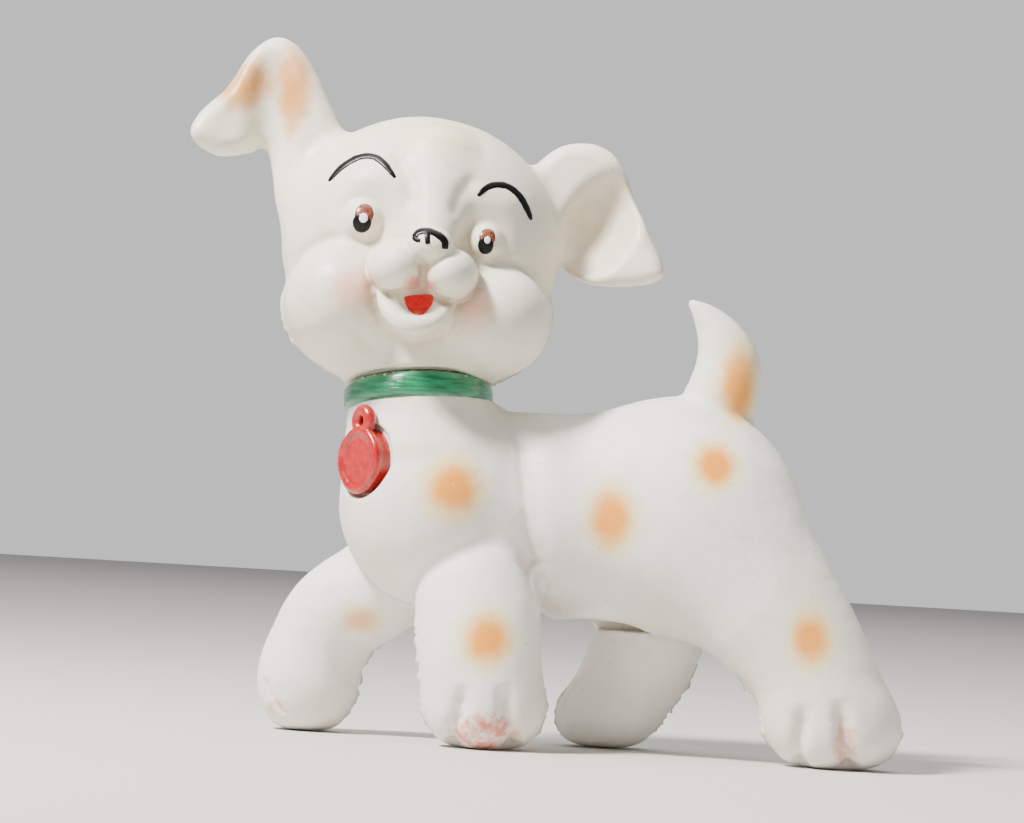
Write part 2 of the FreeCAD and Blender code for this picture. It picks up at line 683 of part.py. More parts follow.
DROOP_REACH = "sizes.droop_ear_reach"
DROOP_DROP = "sizes.droop_ear_drop"
DROOP_CROWN = "sizes.droop_ear_crown"
DROOP_ROOT = "sizes.droop_root_length / 2"
droop_ear = join(
    "droop_ear_solid",
    capsule("droop_root", "sizes.ear_root_radius", "sizes.droop_root_length"),
    padded_ear(
        "droop_leaf",
        [
            ("0", DROOP_ROOT),
            (f"{DROOP_REACH} * 0.33", DROOP_CROWN),
            (f"{DROOP_REACH} * 0.67", f"{DROOP_CROWN} * 0.95"),
            (f"{DROOP_REACH} * 0.90", f"{DROOP_CROWN} * 0.48"),
            (DROOP_REACH, f"-{DROOP_DROP} * 0.80"),
            (f"{DROOP_REACH} * 0.84", f"-{DROOP_DROP}"),
            (f"{DROOP_REACH} * 0.38", f"-{DROOP_DROP} * 0.93"),
            (f"{DROOP_REACH} * 0.16", f"-{DROOP_DROP} * 0.74"),
            ("2.6", f"-{DROOP_ROOT} - 3"),
            ("0", f"-{DROOP_ROOT}"),
        ],
    ),
)
sub_part(droop_ear, "left_ear_drooping", droop_frame)

RAISED_REACH = "sizes.raised_ear_reach"
RAISED_TOP = "sizes.raised_ear_top"
RAISED_ROOT = "sizes.raised_root_length / 2"
raised_ear = join(
    "raised_ear_solid",
    capsule("raised_root", "sizes.ear_root_radius", "sizes.raised_root_length"),
    padded_ear(
        "raised_leaf",
        [
            ("0", f"-{RAISED_ROOT}"),
            (f"-{RAISED_REACH} * 0.42", f"-{RAISED_TOP} * 0.04"),
            (f"-{RAISED_REACH} * 0.66", "-sizes.flap_drop"),
            (f"-{RAISED_REACH} * 0.92", "-sizes.flap_drop * 0.94"),
            (f"-{RAISED_REACH}", f"{RAISED_TOP} * 0.30"),
            (f"-{RAISED_REACH}", f"{RAISED_TOP} * 0.62"),
            (f"-{RAISED_REACH} * 0.84", f"{RAISED_TOP} * 0.97"),
            (f"-{RAISED_REACH} * 0.62", RAISED_TOP),
            (f"-{RAISED_REACH} * 0.30", f"{RAISED_TOP} * 0.80"),
            ("0", RAISED_ROOT),
        ],
    ),
)
sub_part(raised_ear, "right_ear_raised", raised_frame)

# ---------------------------------------------------------------- tail

TAIL = [  # share of the root's radius, x, share of the rise, turn
    (0.93, "0", 0.00, "25"),
    (0.92, "3.6", 0.28, "18"),
    (0.86, "3.8", 0.48, "-8"),
    (0.70, "1.4", 0.68, "-28"),
    (0.44, "-2.6", 0.86, "-46"),
    (0.16, "-5.8", 1.00, "-58"),
]
tail = join(
    "tail_solid",
    ball("tail_root", "sizes.tail_root_radius"),
    loft(
        "tail_horn",
        [
            (
                f"sizes.tail_root_radius * {share}",
                f"sizes.tail_root_radius * {share} * 0.9",
                x,
                "0",
                f"sizes.tail_rise * {rise}",
                turn,
            )
            for share, x, rise, turn in TAIL
        ],
    ),
)
sub_part(tail, "tail", tail_frame)

# ---------------------------------------------------------------- squeaker

CAN_TOP = "sizes.can_height"
AIR_HOLE = "sizes.vent_radius * 2"
sub_part(
    turned(
        "squeaker_grommet",
        tube_outline("sizes.can_radius", SQUEAKER_ROOM, "0", "sizes.grommet_height"),
    ),
    "squeaker_grommet",
    squeaker,
)
sub_part(
    turned(
        "squeaker_can",
        [
            (AIR_HOLE, f"{CAN_TOP} - sizes.tin"),
            ("sizes.can_radius - sizes.tin", f"{CAN_TOP} - sizes.tin"),
            ("sizes.can_radius - sizes.tin", "sizes.tin"),
            ("sizes.can_radius", "sizes.tin"),
            ("sizes.can_radius", CAN_TOP),
            (AIR_HOLE, CAN_TOP),
        ],
    ),
    "squeaker_can",
    squeaker,
)


def vented_lid(label):
    """The lid: a tin disc with a ring of vent holes."""
    body = turned(label, tube_outline("0", "sizes.can_radius", "0", "sizes.tin"))
    doc.recompute()
    sketch = body.newObject("Sketcher::SketchObject", f"{label}_vent_outline")
    sketch.AttachmentSupport = (origin_plane(body, "XY_Plane"), [""])
    sketch.MapMode = "FlatFace"
    middle = Vector(value_of("sizes.vent_circle"), 0, 0)
    sketch.addGeometry(Part.Circle(middle, Vector(0, 0, 1), value_of("sizes.vent_radius")), False)
    sketch.addConstraint(Sketcher.Constraint("PointOnObject", 0, 3, -1))
    reach = Sketcher.Constraint("DistanceX", -1, 1, 0, 3, middle.x)
    sketch.setExpression(f"Constraints[{sketch.addConstraint(reach)}]", "sizes.vent_circle")
    radius = Sketcher.Constraint("Radius", 0, value_of("sizes.vent_radius"))
    sketch.setExpression(f"Constraints[{sketch.addConstraint(radius)}]", "sizes.vent_radius")
    vent = body.newObject("PartDesign::Pocket", f"{label}_vent")
    vent.Profile = sketch
    vent.Midplane = True
    vent.setExpression("Length", "4 * sizes.tin")
    vents = body.newObject("PartDesign::PolarPattern", f"{label}_vents")
    vents.Originals = [vent]
    vents.Axis = (sketch, ["N_Axis"])
    vents.Angle = 360
    vents.setExpression("Occurrences", "sizes.vent_count")
    body.Tip = vents
    return body


sub_part(vented_lid("squeaker_lid"), "squeaker_lid", squeaker)

CHANNEL_Z = "sizes.tin + sizes.channel_radius"  # the channel's flat, open side
CHANNEL_LENGTH = "sizes.reed_length + sizes.clip_length"
CHANNEL_START = f"-({CHANNEL_LENGTH}) / 2"
ALONG_X = 90  # degrees about Y that lay a cylinder along X


def bar_along_x(name, radius, length, start, z):
    """A cylinder that lies along X."""
    solid = bind(doc.addObject("Part::Cylinder", name), Radius=radius, Height=length)
    return place(solid, start, "0", z, str(ALONG_X))


def block(name, length, width, height, x, z):
    """A box from x onwards, centred across Y, standing on z."""
    solid = bind(doc.addObject("Part::Box", name), Length=length, Width=width, Height=height)
    return place(solid, x, f"-({width}) / 2", z)


channel_foot = block(
    "channel_foot",
    "sizes.vent_circle",
    "sizes.channel_radius",
    "sizes.channel_wall",
    "-sizes.vent_circle / 2",
    "sizes.tin",
)
channel = join(
    "channel",
    bar_along_x("channel_outside", "sizes.channel_radius", CHANNEL_LENGTH, CHANNEL_START, CHANNEL_Z),
    channel_foot,
)
BORE_START = f"{CHANNEL_START} + sizes.clip_length"
REED_Z = f"{CHANNEL_Z} + sizes.reed_gap"
channel_bore = bar_along_x(
    "channel_bore",
    "sizes.channel_radius - sizes.channel_wall",
    "2 * sizes.reed_length",
    BORE_START,
    CHANNEL_Z,
)
channel_top = block(
    "channel_top",
    f"2 * ({CHANNEL_LENGTH})",
    "4 * sizes.channel_radius",
    "2 * sizes.channel_radius",
    f"2 * ({CHANNEL_START})",
    CHANNEL_Z,
)
channel_room = join("channel_room", channel_bore, channel_top)
sub_part(cut("channel_cut", channel, channel_room), "reed_channel", squeaker)

clip = block(
    "clip",
    "sizes.clip_length - sizes.reed_gap",
    "sizes.reed_width",
    "sizes.clip_height",
    CHANNEL_START,
    CHANNEL_Z,
)
sub_part(copy_at("clip_in_place", clip, squeaker), "reed_clip")
reed = block("reed", "sizes.reed_length", "sizes.reed_width", "sizes.reed_thickness", BORE_START, REED_Z)
sub_part(copy_at("reed_in_place", reed, squeaker), "squeaker_reed")

# ---------------------------------------------------------------- checks and files


def check(thing):
    """Stop if an object of the document failed."""
    if {"Invalid", "Error"} & set(thing.State):
        raise RuntimeError(f"{thing.Name} failed: {thing.State}")


doc.recompute()
for thing in doc.Objects:
    check(thing)
for piece in parts:
    if piece.Shape.isNull() or not piece.Shape.isValid():
        raise RuntimeError(f"{piece.Label} has no sound shape")

os.makedirs("parts", exist_ok=True)
for piece in parts:
    piece.Shape.exportStep(f"parts/{piece.Label}.step")
    box = piece.Shape.BoundBox
    print(f"{piece.Label:20s} {piece.Shape.Volume:10.1f} mm3  {len(piece.Shape.Solids)} solid(s)  {box}")
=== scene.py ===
"""Looks of a moulded rubber squeaky puppy, sculpted from distance fields around its CAD frame.

Everything is laid out in millimetres in the frame's own axes: +Z up, the puppy walks towards -X and its
head looks towards -Y. Meshes are scaled to metres when they are made.
"""

import json
import math
from contextlib import contextmanager

import bmesh
import bpy
import numpy as np
import openvdb
from mathutils import Matrix, Vector, noise
from mathutils.bvhtree import BVHTree


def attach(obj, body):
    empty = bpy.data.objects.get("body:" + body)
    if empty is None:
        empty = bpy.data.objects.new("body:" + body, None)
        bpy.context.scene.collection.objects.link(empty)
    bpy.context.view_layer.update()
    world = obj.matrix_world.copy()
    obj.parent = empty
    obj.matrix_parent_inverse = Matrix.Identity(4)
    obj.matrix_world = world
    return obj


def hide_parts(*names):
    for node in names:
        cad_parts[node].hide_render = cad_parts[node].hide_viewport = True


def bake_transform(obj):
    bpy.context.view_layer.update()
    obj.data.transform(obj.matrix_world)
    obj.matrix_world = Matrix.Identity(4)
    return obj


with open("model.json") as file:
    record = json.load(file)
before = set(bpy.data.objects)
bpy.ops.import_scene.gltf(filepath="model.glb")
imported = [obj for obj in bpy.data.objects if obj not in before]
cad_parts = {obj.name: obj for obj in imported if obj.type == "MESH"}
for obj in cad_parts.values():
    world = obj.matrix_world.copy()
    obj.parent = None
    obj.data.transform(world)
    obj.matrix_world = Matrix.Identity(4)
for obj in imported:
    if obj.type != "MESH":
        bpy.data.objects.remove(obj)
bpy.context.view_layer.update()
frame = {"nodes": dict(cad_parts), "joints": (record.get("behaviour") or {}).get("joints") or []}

MM = 0.001
CELL = 0.5  # size of a sculpting cell
SMALL_CELL = 0.3  # the same for the medallion and its ring
UP = (0, 0, 1)
ACROSS = Vector((0, 1, 0))

joints = {joint["name"]: joint for joint in frame["joints"]}
NECK_POINT = Vector(joints["head_turn"]["pos_m"]) / MM
NECK_AXIS = Vector(joints["head_turn"]["axis"]).normalized()
LEAN = NECK_AXIS.y / NECK_AXIS.z  # how far the neck leans back per millimetre of height


def neck_y(z):
    """The neck axis's distance behind the body's parting plane at height z."""
    return LEAN * (z - NECK_POINT.z)


# ---- distance fields


def shifted(p, centre, turn=0.0):
    """Coordinates from a centre, in axes turned about Y by `turn` degrees."""
    x, y, z = (axis - start for axis, start in zip(p, centre))
    c, s = math.cos(math.radians(turn)), math.sin(math.radians(turn))
    return (x * c - z * s, y, x * s + z * c)


def egg(p, centre, radii, turn=0.0):
    """Distance to an ellipsoid."""
    q = shifted(p, centre, turn)
    near = np.sqrt(sum((axis / r) ** 2 for axis, r in zip(q, radii)))
    steep = np.sqrt(sum((axis / (r * r)) ** 2 for axis, r in zip(q, radii)))
    return near * (near - 1) / np.maximum(steep, 1e-4)


def stick(p, a, b, ra, rb, flat=1.0):
    """Distance to a rod whose radius changes from ra to rb; flat squeezes it across Y."""
    across = [end - start for start, end in zip(a, b)]
    x, y, z = (axis - start for axis, start in zip(p, a))
    run = sum(c * c for c in across)
    t = np.clip((x * across[0] + y * across[1] + z * across[2]) / run, 0, 1)
    x, y, z = x - t * across[0], (y - t * across[1]) / flat, z - t * across[2]
    return np.sqrt(x * x + y * y + z * z) - (ra + (rb - ra) * t)


def melt(a, b, k):
    """Union of two fields with a soft fillet of about k millimetres."""
    h = np.maximum(k - np.abs(a - b), 0) / k
    return np.minimum(a, b) - h * h * k * 0.25


def carve(a, b, k):
    """Field a with b taken away, softened by k millimetres."""
    return -melt(-a, b, k)


SOFT_JOINT = 0.35  # fillet between the short rods of a limb, as a share of the radius
SLIM = 0.93  # makes up for what those fillets add


def limb(p, joints_of_limb, flat):
    """A rod whose middle line and radius run smoothly through a row of (x, y, z, radius) points."""
    path = smooth_outline(joints_of_limb, closed=False, steps=4)
    field = None
    for (*a, ra), (*b, rb) in zip(path, path[1:]):
        rod = stick(p, a, b, SLIM * ra, SLIM * rb, flat)
        field = rod if field is None else melt(field, rod, SOFT_JOINT * ra)
    return field


def about_axis(p, point, axis):
    """Distance along an axis from a point on it, and distance out from the axis."""
    x, y, z = (c - start for c, start in zip(p, point))
    along = x * axis[0] + y * axis[1] + z * axis[2]
    return along, np.sqrt(np.maximum(x * x + y * y + z * z - along * along, 0))


def within_both(a, b):
    """Distance to where two fields overlap, with a crisp edge between them."""
    return np.minimum(np.maximum(a, b), 0) + np.sqrt(np.maximum(a, 0) ** 2 + np.maximum(b, 0) ** 2)


def drum(p, point, axis, radius, low, high):
    """Distance to a cylinder about an axis, between two heights along it."""
    along, out = about_axis(p, point, axis)
    return within_both(out - radius, np.maximum(low - along, along - high))


def hoop(p, point, axis, radius, half, lift=0.0):
    """Distance to a round hoop of thickness 2 * half about an axis, lifted along it from the point."""
    along, out = about_axis(p, point, axis)
    return np.sqrt((out - radius) ** 2 + (along - lift) ** 2) - half


def smooth_outline(points, closed=True, steps=6):
    """A Catmull-Rom curve through points of any number of coordinates."""
    pts = [np.array(point, float) for point in points]
    count = len(pts)
    spans = count if closed else count - 1
    curve = []
    for i in range(spans):
        near = [i - 1, i, i + 1, i + 2]
        a, b, c, d = (pts[k % count if closed else min(max(k, 0), count - 1)] for k in near)
        for step in range(steps):
            t = step / steps
            bend = (2 * a - 5 * b + 4 * c - d) * t**2 + (3 * b - a - 3 * c + d) * t**3
            curve.append(0.5 * (2 * b + (c - a) * t + bend))
    if not closed:
        curve.append(pts[-1])
    return np.array(curve)


def flat_distance(x, z, outline):
    """Signed distance in the XZ plane to a closed outline, negative inside."""
    best = np.full(np.broadcast(x, z).shape, 1e9, np.float32)
    inside = np.zeros(best.shape, bool)
    for (ax, az), (bx, bz) in zip(outline, np.roll(outline, -1, axis=0)):
        dx, dz = bx - ax, bz - az
        t = np.clip(((x - ax) * dx + (z - az) * dz) / max(dx * dx + dz * dz, 1e-9), 0, 1)
        best = np.minimum(best, (x - ax - t * dx) ** 2 + (z - az - t * dz) ** 2)
        if az != bz:
            inside ^= ((az > z) != (bz > z)) & (x < (bx - ax) * (z - az) / (bz - az) + ax)
    distance = np.sqrt(best)
    return np.where(inside, -distance, distance)


def leaf(p, outline, half_thickness, rounding, bend):
    """A thick leaf with the outline in the XZ plane; bend gives its middle's y from x and z."""
    x, y, z = p
    edge = flat_distance(x, z, outline) + rounding
    face = np.abs(y - bend(x, z)) - half_thickness + rounding
    return within_both(edge, face) - rounding


# ---- sculpting


SLAB = 24  # grid layers worked out at a time, to spare memory
SETTLING_STEPS = 3
SLOPE_REACH = 0.08  # how far each side of a point its slope is measured


def field_mesh(field, low, high, step):
    """Points and quads of a field's zero surface inside a box, the points settled onto it."""
    axes = [np.arange(a, b + step, step, dtype=np.float32) for a, b in zip(low, high)]
    values = np.empty([len(axis) for axis in axes], np.float32)
    ys, zs = axes[1][None, :, None], axes[2][None, None, :]
    for start in range(0, len(axes[0]), SLAB):
        xs = axes[0][start : start + SLAB, None, None]
        values[start : start + SLAB] = field((xs, ys, zs))
    grid = openvdb.FloatGrid(background=4 * step)
    grid.copyFromArray(values)
    points, quads = grid.convertToQuads(isovalue=0.0)
    points = points.astype(np.float64) * step + np.array(low)
    for _ in range(SETTLING_STEPS):
        distance, slope = surface_at(field, points)
        move = distance[:, None] * slope
        points -= np.where(np.abs(distance)[:, None] < step, move, 0)
    return points, quads


def surface_at(field, points):
    """A field's value and unit slope at a list of points."""
    steps = SLOPE_REACH * np.eye(3)
    slope = np.stack([field((points + step).T) - field((points - step).T) for step in steps], axis=1)
    return field(points.T), slope / np.maximum(np.linalg.norm(slope, axis=1), 1e-6)[:, None]


SEED_SHIFT = Vector((17.3, 5.9, 11.1))


def lumps(points, size, seed):
    """Smooth noise from -1 to 1 over points in millimetres."""
    shift = SEED_SHIFT * seed
    return np.array([noise.noise(Vector(point) / size + shift) for point in points])


def line_distance(points, line):
    """Distance from each point to an open line of (x, y, z) corners, and how far along it, 0 to 1."""
    best = np.full(len(points), 1e9)
    share = np.zeros(len(points))
    spans = len(line) - 1
    for i, (a, b) in enumerate(zip(line, line[1:])):
        a, b = np.array(a, float), np.array(b, float)
        t = np.clip((points - a) @ (b - a) / ((b - a) @ (b - a)), 0, 1)
        distance = np.linalg.norm(points - a - t[:, None] * (b - a), axis=1)
        share = np.where(distance < best, (i + t) / spans, share)
        best = np.minimum(best, distance)
    return best, share


DEPTHS = np.arange(-40.0, 25.0, 0.1)  # where laid_on looks for the skin, from the front to the back
LOWEST = 1.0  # it looks no lower than this, as the soles are rounded


def laid_on(field, line):
    """A line of (x, z) points dropped from the front onto a field's surface."""
    laid = []
    for x, z in line:
        inside = field((np.full(DEPTHS.shape, x), DEPTHS, np.full(DEPTHS.shape, max(z, LOWEST)))) < 0
        laid.append((x, DEPTHS[np.argmax(inside)], z))
    return laid


def grooves_on(field, grooves):
    """Grooves of (line, depth, width) with their lines of (x, z) points laid on a field."""
    return [(laid_on(field, line), depth, width) for line, depth, width in grooves]


GROOVE_FADE = 0.2  # share of a groove's length over which it fades in and out


def pressed(points, grooves, swells):
    """How far points move outwards for grooves (line, depth, width) and swells (centre, radii, height)."""
    move = np.zeros(len(points))
    for line, depth, width in grooves:
        distance, share = line_distance(points, line)
        fade = np.clip(np.minimum(share, 1 - share) / GROOVE_FADE, 0, 1)
        move -= depth * fade * np.exp(-((distance / width) ** 2))
    for centre, radii, height in swells:
        near = (((points - np.array(centre)) / np.array(radii)) ** 2).sum(1)
        move += height * np.exp(-near)
    return move


CROWDING = ((1.2, 0.45), (3.0, 0.35), (6.5, 0.20))  # how far out to look, and how much that counts


def crevices(field, points, normals):
    """0 on open skin, up to 1 in folds, from how much nearby surface crowds a point; the skins use it for
    painted shade and dirt in the folds.
    """
    shade = np.zeros(len(points))
    for reach, weight in CROWDING:
        x, y, z = (points + normals * reach).T
        shade += weight * np.clip(1 - field((x, y, z)) / reach, 0, 1)
    return shade


def placed(name, data):
    """A new object in the scene."""
    thing = bpy.data.objects.new(name, data)
    bpy.context.scene.collection.objects.link(thing)
    return thing


@contextmanager
def edited(thing):
    """A thing's mesh, opened for editing and written back afterwards."""
    mesh = bmesh.new()
    mesh.from_mesh(thing.data)
    yield mesh
    mesh.to_mesh(thing.data)
    mesh.free()


def new_object(name, points, faces):
    """A smoothly shaded mesh object in metres, from points in millimetres."""
    mesh = bpy.data.meshes.new(name)
    mesh.from_pydata((np.asarray(points) * MM).tolist(), [], [list(face) for face in faces])
    mesh.update()
    mesh.polygons.foreach_set("use_smooth", [True] * len(mesh.polygons))
    return placed(name, mesh)


def trim(thing, planes):
    """Cut a closed mesh by planes (point in mm, outward normal) and close every cut flat."""
    with edited(thing) as mesh:
        for point, normal in planes:
            cut = bmesh.ops.bisect_plane(
                mesh,
                geom=mesh.verts[:] + mesh.edges[:] + mesh.faces[:],
                dist=1e-7,
                plane_co=Vector(point) * MM,
                plane_no=Vector(normal),
                clear_outer=True,
            )
            edges = [item for item in cut["geom_cut"] if isinstance(item, bmesh.types.BMEdge)]
            caps = bmesh.ops.holes_fill(mesh, edges=edges, sides=0)["faces"]
            for face in caps:
                face.smooth = False
                for edge in face.edges:
                    edge.smooth = False
            bmesh.ops.triangulate(mesh, faces=caps, quad_method="BEAUTY", ngon_method="BEAUTY")
    return thing


def drop_strays(thing, inside):
    """Keep only the island of a mesh whose skin comes nearest to the point `inside` (mm)."""
    with edited(thing) as mesh:
        keep = min(mesh.verts, key=lambda v: (v.co - Vector(inside) * MM).length)
        reached, front = {keep}, [keep]
        while front:
            vert = front.pop()
            for edge in vert.link_edges:
                other = edge.other_vert(vert)
                if other not in reached:
                    reached.add(other)
                    front.append(other)
        bmesh.ops.delete(mesh, geom=[v for v in mesh.verts if v not in reached], context="VERTS")


UNEVEN = ((9.0, 1.0), (2.6, 0.35))  # size of the lumps, and their share of the wobble
# Pressing a groove in also darkens it with painted shade, through the crevice value.
PRESSED_SHADE = 0.22  # what a millimetre pressed in adds to the crevice value
MOST_PRESSED_SHADE = 0.5


def sculpt(name, field, low, high, planes=(), grooves=(), swells=(), wobble=0.12, step=CELL, heart=None):
    """A closed skin: field, then grooves, swells and hand-made unevenness, then flat cuts."""
    points, quads = field_mesh(field, low, high, step)
    _, normals = surface_at(field, points)
    shade = crevices(field, points, normals)
    move = pressed(points, grooves, swells)
    for seed, (size, share) in enumerate(UNEVEN, start=1):
        move += wobble * share * lumps(points, size, seed)
    thing = new_object(name, points + normals * move[:, None], quads)
    # The crevice value is kept on the mesh; the rubber paints shade and dirt into the folds from it.
    layer = thing.data.attributes.new("crevice", "FLOAT", "POINT")
    shade += np.clip(-move * PRESSED_SHADE, 0, MOST_PRESSED_SHADE)
    layer.data.foreach_set("value", shade.astype(np.float32))
    trim(thing, planes)
    if heart is not None:
        drop_strays(thing, heart)
    return thing


# ---- body

TOP_OF_NECK = -2.9  # the throat ends inside the collar, from the collar's middle
TAG_NORMAL = Vector((-0.80, -0.60, 0)).normalized()
TAG_MIDDLE = Vector((-38.6, -13.6, 63.9))
TAG_BACK_DEPTH = 2.4
TAG_BACK = TAG_MIDDLE - TAG_NORMAL * TAG_BACK_DEPTH
NECK_BORE = 14.9
SQUEAKER = (20, 0, 31)

CHEST = ((-21.0, 0, 55.4), (23.2, 24.5, 24.4))
BARREL = ((-14, 0, 54.6), (34, 0, 54.6), 22.4, 23.4, 0.90)
HAUNCH = ((35, 0, 55.6), (25.6, 23.5, 27.0))
NEAR_FRONT = [(-11, -6.0, 46, 12.6), (-10.8, -12.6, 35, 13.2), (-9.6, -17, 22, 12.7), (-8, -18, 11, 12.4)]
NEAR_REAR = [(42, -8, 52, 20.0), (54.5, -13, 37.5, 15.8), (64.5, -16.5, 25, 13.2), (71, -18, 12, 13.0)]
FAR_FRONT = [(-26, 9, 41, 11.4), (-36, 13, 33.6, 11.0), (-45, 16.5, 27, 10.6), (-49.5, 18, 16, 10.6)]
FAR_REAR = [(32, 10, 42, 13.5), (30.6, 14, 29, 11.6), (27, 17, 18.5, 11.2), (22.5, 18, 10.5, 9.6)]
LEGS = [  # limb, its flatness, the paw's egg, the fillet between those two, the fillet to the body
    (NEAR_FRONT, 0.86, ((-7.6, -18, 9), (13.2, 11.4, 10.6)), 4, 2.0),
    (NEAR_REAR, 0.84, ((72.2, -18, 9.4), (15.0, 11.8, 11)), 5, 9),
    (FAR_FRONT, 0.92, ((-50, 18, 12.4), (12, 11.4, 14.4)), 2, 1.6),
    (FAR_REAR, 0.9, ((21.0, 18, 8.2), (12.2, 11.2, 9.6), -12), 3, 4),
]
TAIL = [
    (39.4, 0, 74.5, 7.4),
    (42.8, 0, 82.0, 7.9),
    (44.4, 0, 90.0, 7.0),
    (42.6, 0, 96.5, 5.2),
    (39.0, 0, 101.6, 3.1),
    (35.2, 0, 104.9, 1.1),
]


def body_field(p):
    """The whole skin of the body with its legs and tail."""
    throat = drum(p, NECK_POINT, NECK_AXIS, 16.4, -14, TOP_OF_NECK)
    boss = drum(p, SQUEAKER, UP, 12.8, 0.4, 8) - 0.6
    tag_recess = drum(p, TAG_BACK, TAG_NORMAL, 8.6, 0.2, 12)
    neck_pocket = drum(p, NECK_POINT, NECK_AXIS, NECK_BORE, -9.1, 4)
    squeaker_pocket = drum(p, SQUEAKER, UP, 11.05, -3, 10)
    field = melt(melt(stick(p, *BARREL), egg(p, *HAUNCH), 9), egg(p, *CHEST), 2.6)
    field = melt(field, throat, 7)
    for joints_of_leg, flatness, paw, paw_fillet, fillet in LEGS:
        leg = melt(limb(p, joints_of_leg, flatness), egg(p, *paw), paw_fillet)
        field = melt(field, leg, fillet)
    field = melt(field, limb(p, TAIL, 0.9), 1.6)
    field = carve(field, p[2], 2.5)
    field = melt(field, boss, 5)
    field = carve(field, tag_recess, 1.2)
    field = carve(field, neck_pocket, 0.3)
    return carve(field, squeaker_pocket, 0.3)


SHOULDER_VALLEY = [(-6.5, 76), (-3.4, 70), (-2.2, 62), (-0.4, 51), (1.6, 42), (2.6, 34)]
NEAR_FRONT_TOES = [
    [(-12.8, 15), (-13.4, 8), (-14.6, 1), (-14.6, -2)],
    [(-4.2, 15.5), (-2.4, 8), (-1.2, 1), (-1.2, -2)],
]
NEAR_REAR_TOES = [
    [(63.8, 15), (63.2, 8), (64.0, 1), (64.0, -2)],
    [(71.4, 16.5), (73.0, 9), (74.8, 1), (74.8, -2)],
]
FAR_FRONT_SLIT = [(-60.0, 12.5), (-58.2, 7.6), (-54.4, 3.6)]
FAR_REAR_RIM = [(11.0, 3.5), (10.4, 9), (14.0, 16), (19.5, 24)]
BODY_GROOVES = [  # line, depth, width
    (SHOULDER_VALLEY, 1.8, 4.0),
    (SHOULDER_VALLEY, 0.5, 0.9),
    (FAR_FRONT_SLIT, 1.3, 0.8),
    (FAR_REAR_RIM, 0.8, 0.8),
]
BODY_GROOVES += [(line, 2.0, 1.9) for line in NEAR_FRONT_TOES + NEAR_REAR_TOES]
BODY_SWELLS = [  # centre, radii, height
    ((-13.5, -26, 5), (5, 6, 5), 0.5),
    ((-7.6, -28, 5), (4, 6, 5), 0.6),
    ((3, -26, 5), (4, 6, 5), 0.5),
    ((68.5, -29, 5), (4, 6, 5), 0.6),
    ((79, -27, 5), (5, 6, 5), 0.6),
]

BODY_BOX = ((-65, -33, -1.0), (90, 33, 108))
TAIL_BOX = ((28, -12, 68), (56, 12, 108))
TAIL_CUT = Vector((43.0, 0, 83.0))
TAIL_UP = Vector((0.35, 0, 0.937)).normalized()
GROUND_CUT = ((0, 0, 0.02), (0, 0, -1))
BODY_TEARS = [  # centre, reach, height
    ((57, 0, 22), 9, 0.9),
    ((-22, 0, 31), 8, 0.8),
    ((18, 0, 31), 9, 0.5),
]


def halves(whole, names, planes, middle, normal):
    """Trim a closed skin by planes, then split it at its parting plane into two closed skins."""
    trim(whole, planes)
    pair = [placed(name, whole.data.copy()) for name in names]
    bpy.data.objects.remove(whole)
    return [trim(half, [(middle, normal * side)]) for half, side in zip(pair, (1, -1))]


ON_PLANE = 1e-5  # metres
SHORTEST_LOOP = 40  # points; shorter loops round a cut are slivers
FIN_HEIGHT = 0.16
FIN_HALF = 0.11  # half the fin's thickness
FIN_ROOT = 0.5  # how deep it sits in the skin
THINNEST = 0.05
EDGE_SETTLING_STEPS = 8


def flash(name, skin, middle, normal, tears, seed):
    """The thin fin of rubber squeezed out at the mould's parting plane, following a skin's outline there.

    tears lists (centre, reach, height): where the fin is left tall and torn.
    """
    middle = Vector(middle) * MM
    mesh = bmesh.new()
    mesh.from_mesh(skin.data)
    links = {}
    for edge in mesh.edges:
        if edge.smooth or any(abs((v.co - middle).dot(normal)) >= ON_PLANE for v in edge.verts):
            continue
        a, b = edge.verts
        links.setdefault(a, []).append(b)
        links.setdefault(b, []).append(a)
    points, faces = [], []
    seen = set()
    for start in links:
        if start in seen:
            continue
        loop, here = [], start
        while here is not None:
            seen.add(here)
            loop.append(here.co / MM)
            here = next((other for other in links[here] if other not in seen), None)
        if len(loop) >= SHORTEST_LOOP:
            add_fin(points, faces, loop, normal, tears, seed)
    mesh.free()
    return new_object(name, points, faces)


def torn(here, coarse, fine, swing, seed):
    """How tall a torn edge is left at a point, from two sizes of noise; the coarser one has the swing."""
    return 0.5 + swing * noise.noise(here / coarse + ACROSS * seed) + 0.5 * noise.noise(here / fine)


def fin_quads(first, count, closed):
    """Quads that join a row of three-point sections into a fin."""
    quads = []
    for i in range(count if closed else count - 1):
        a, b = first + 3 * i, first + 3 * ((i + 1) % count)
        quads += [(a + k, a + (k + 1) % 3, b + (k + 1) % 3, b + k) for k in range(3)]
    return quads


def add_fin(points, faces, loop, normal, tears, seed):
    """Add a closed three-sided fin around one loop of points."""
    count = len(loop)
    area = sum((loop[i].cross(loop[(i + 1) % count])).dot(normal) for i in range(count))
    turn = 1 if area > 0 else -1
    first = len(points)
    for i, here in enumerate(loop):
        along = (loop[(i + 2) % count] - loop[i - 2]).normalized()
        out = along.cross(normal) * turn
        height = FIN_HEIGHT * (0.8 + 0.8 * noise.noise(here / 6 + Vector((seed, 0, 0))))
        tear = torn(here, 1.7, 0.6, 0.9, seed)
        for centre, reach, tall in tears:
            near = math.exp(-(((here - Vector(centre)).length / reach) ** 2))
            height += tall * near * max(tear, 0)
        sway = 0.35 * height * noise.noise(here / 2.2 + Vector((0, 0, seed)))
        foot, thick = here - out * FIN_ROOT, normal * FIN_HALF
        points += [foot - thick, foot + thick, here + out * max(height, THINNEST) + normal * sway]
    faces += [quad[::turn] for quad in fin_quads(first, count, closed=True)]


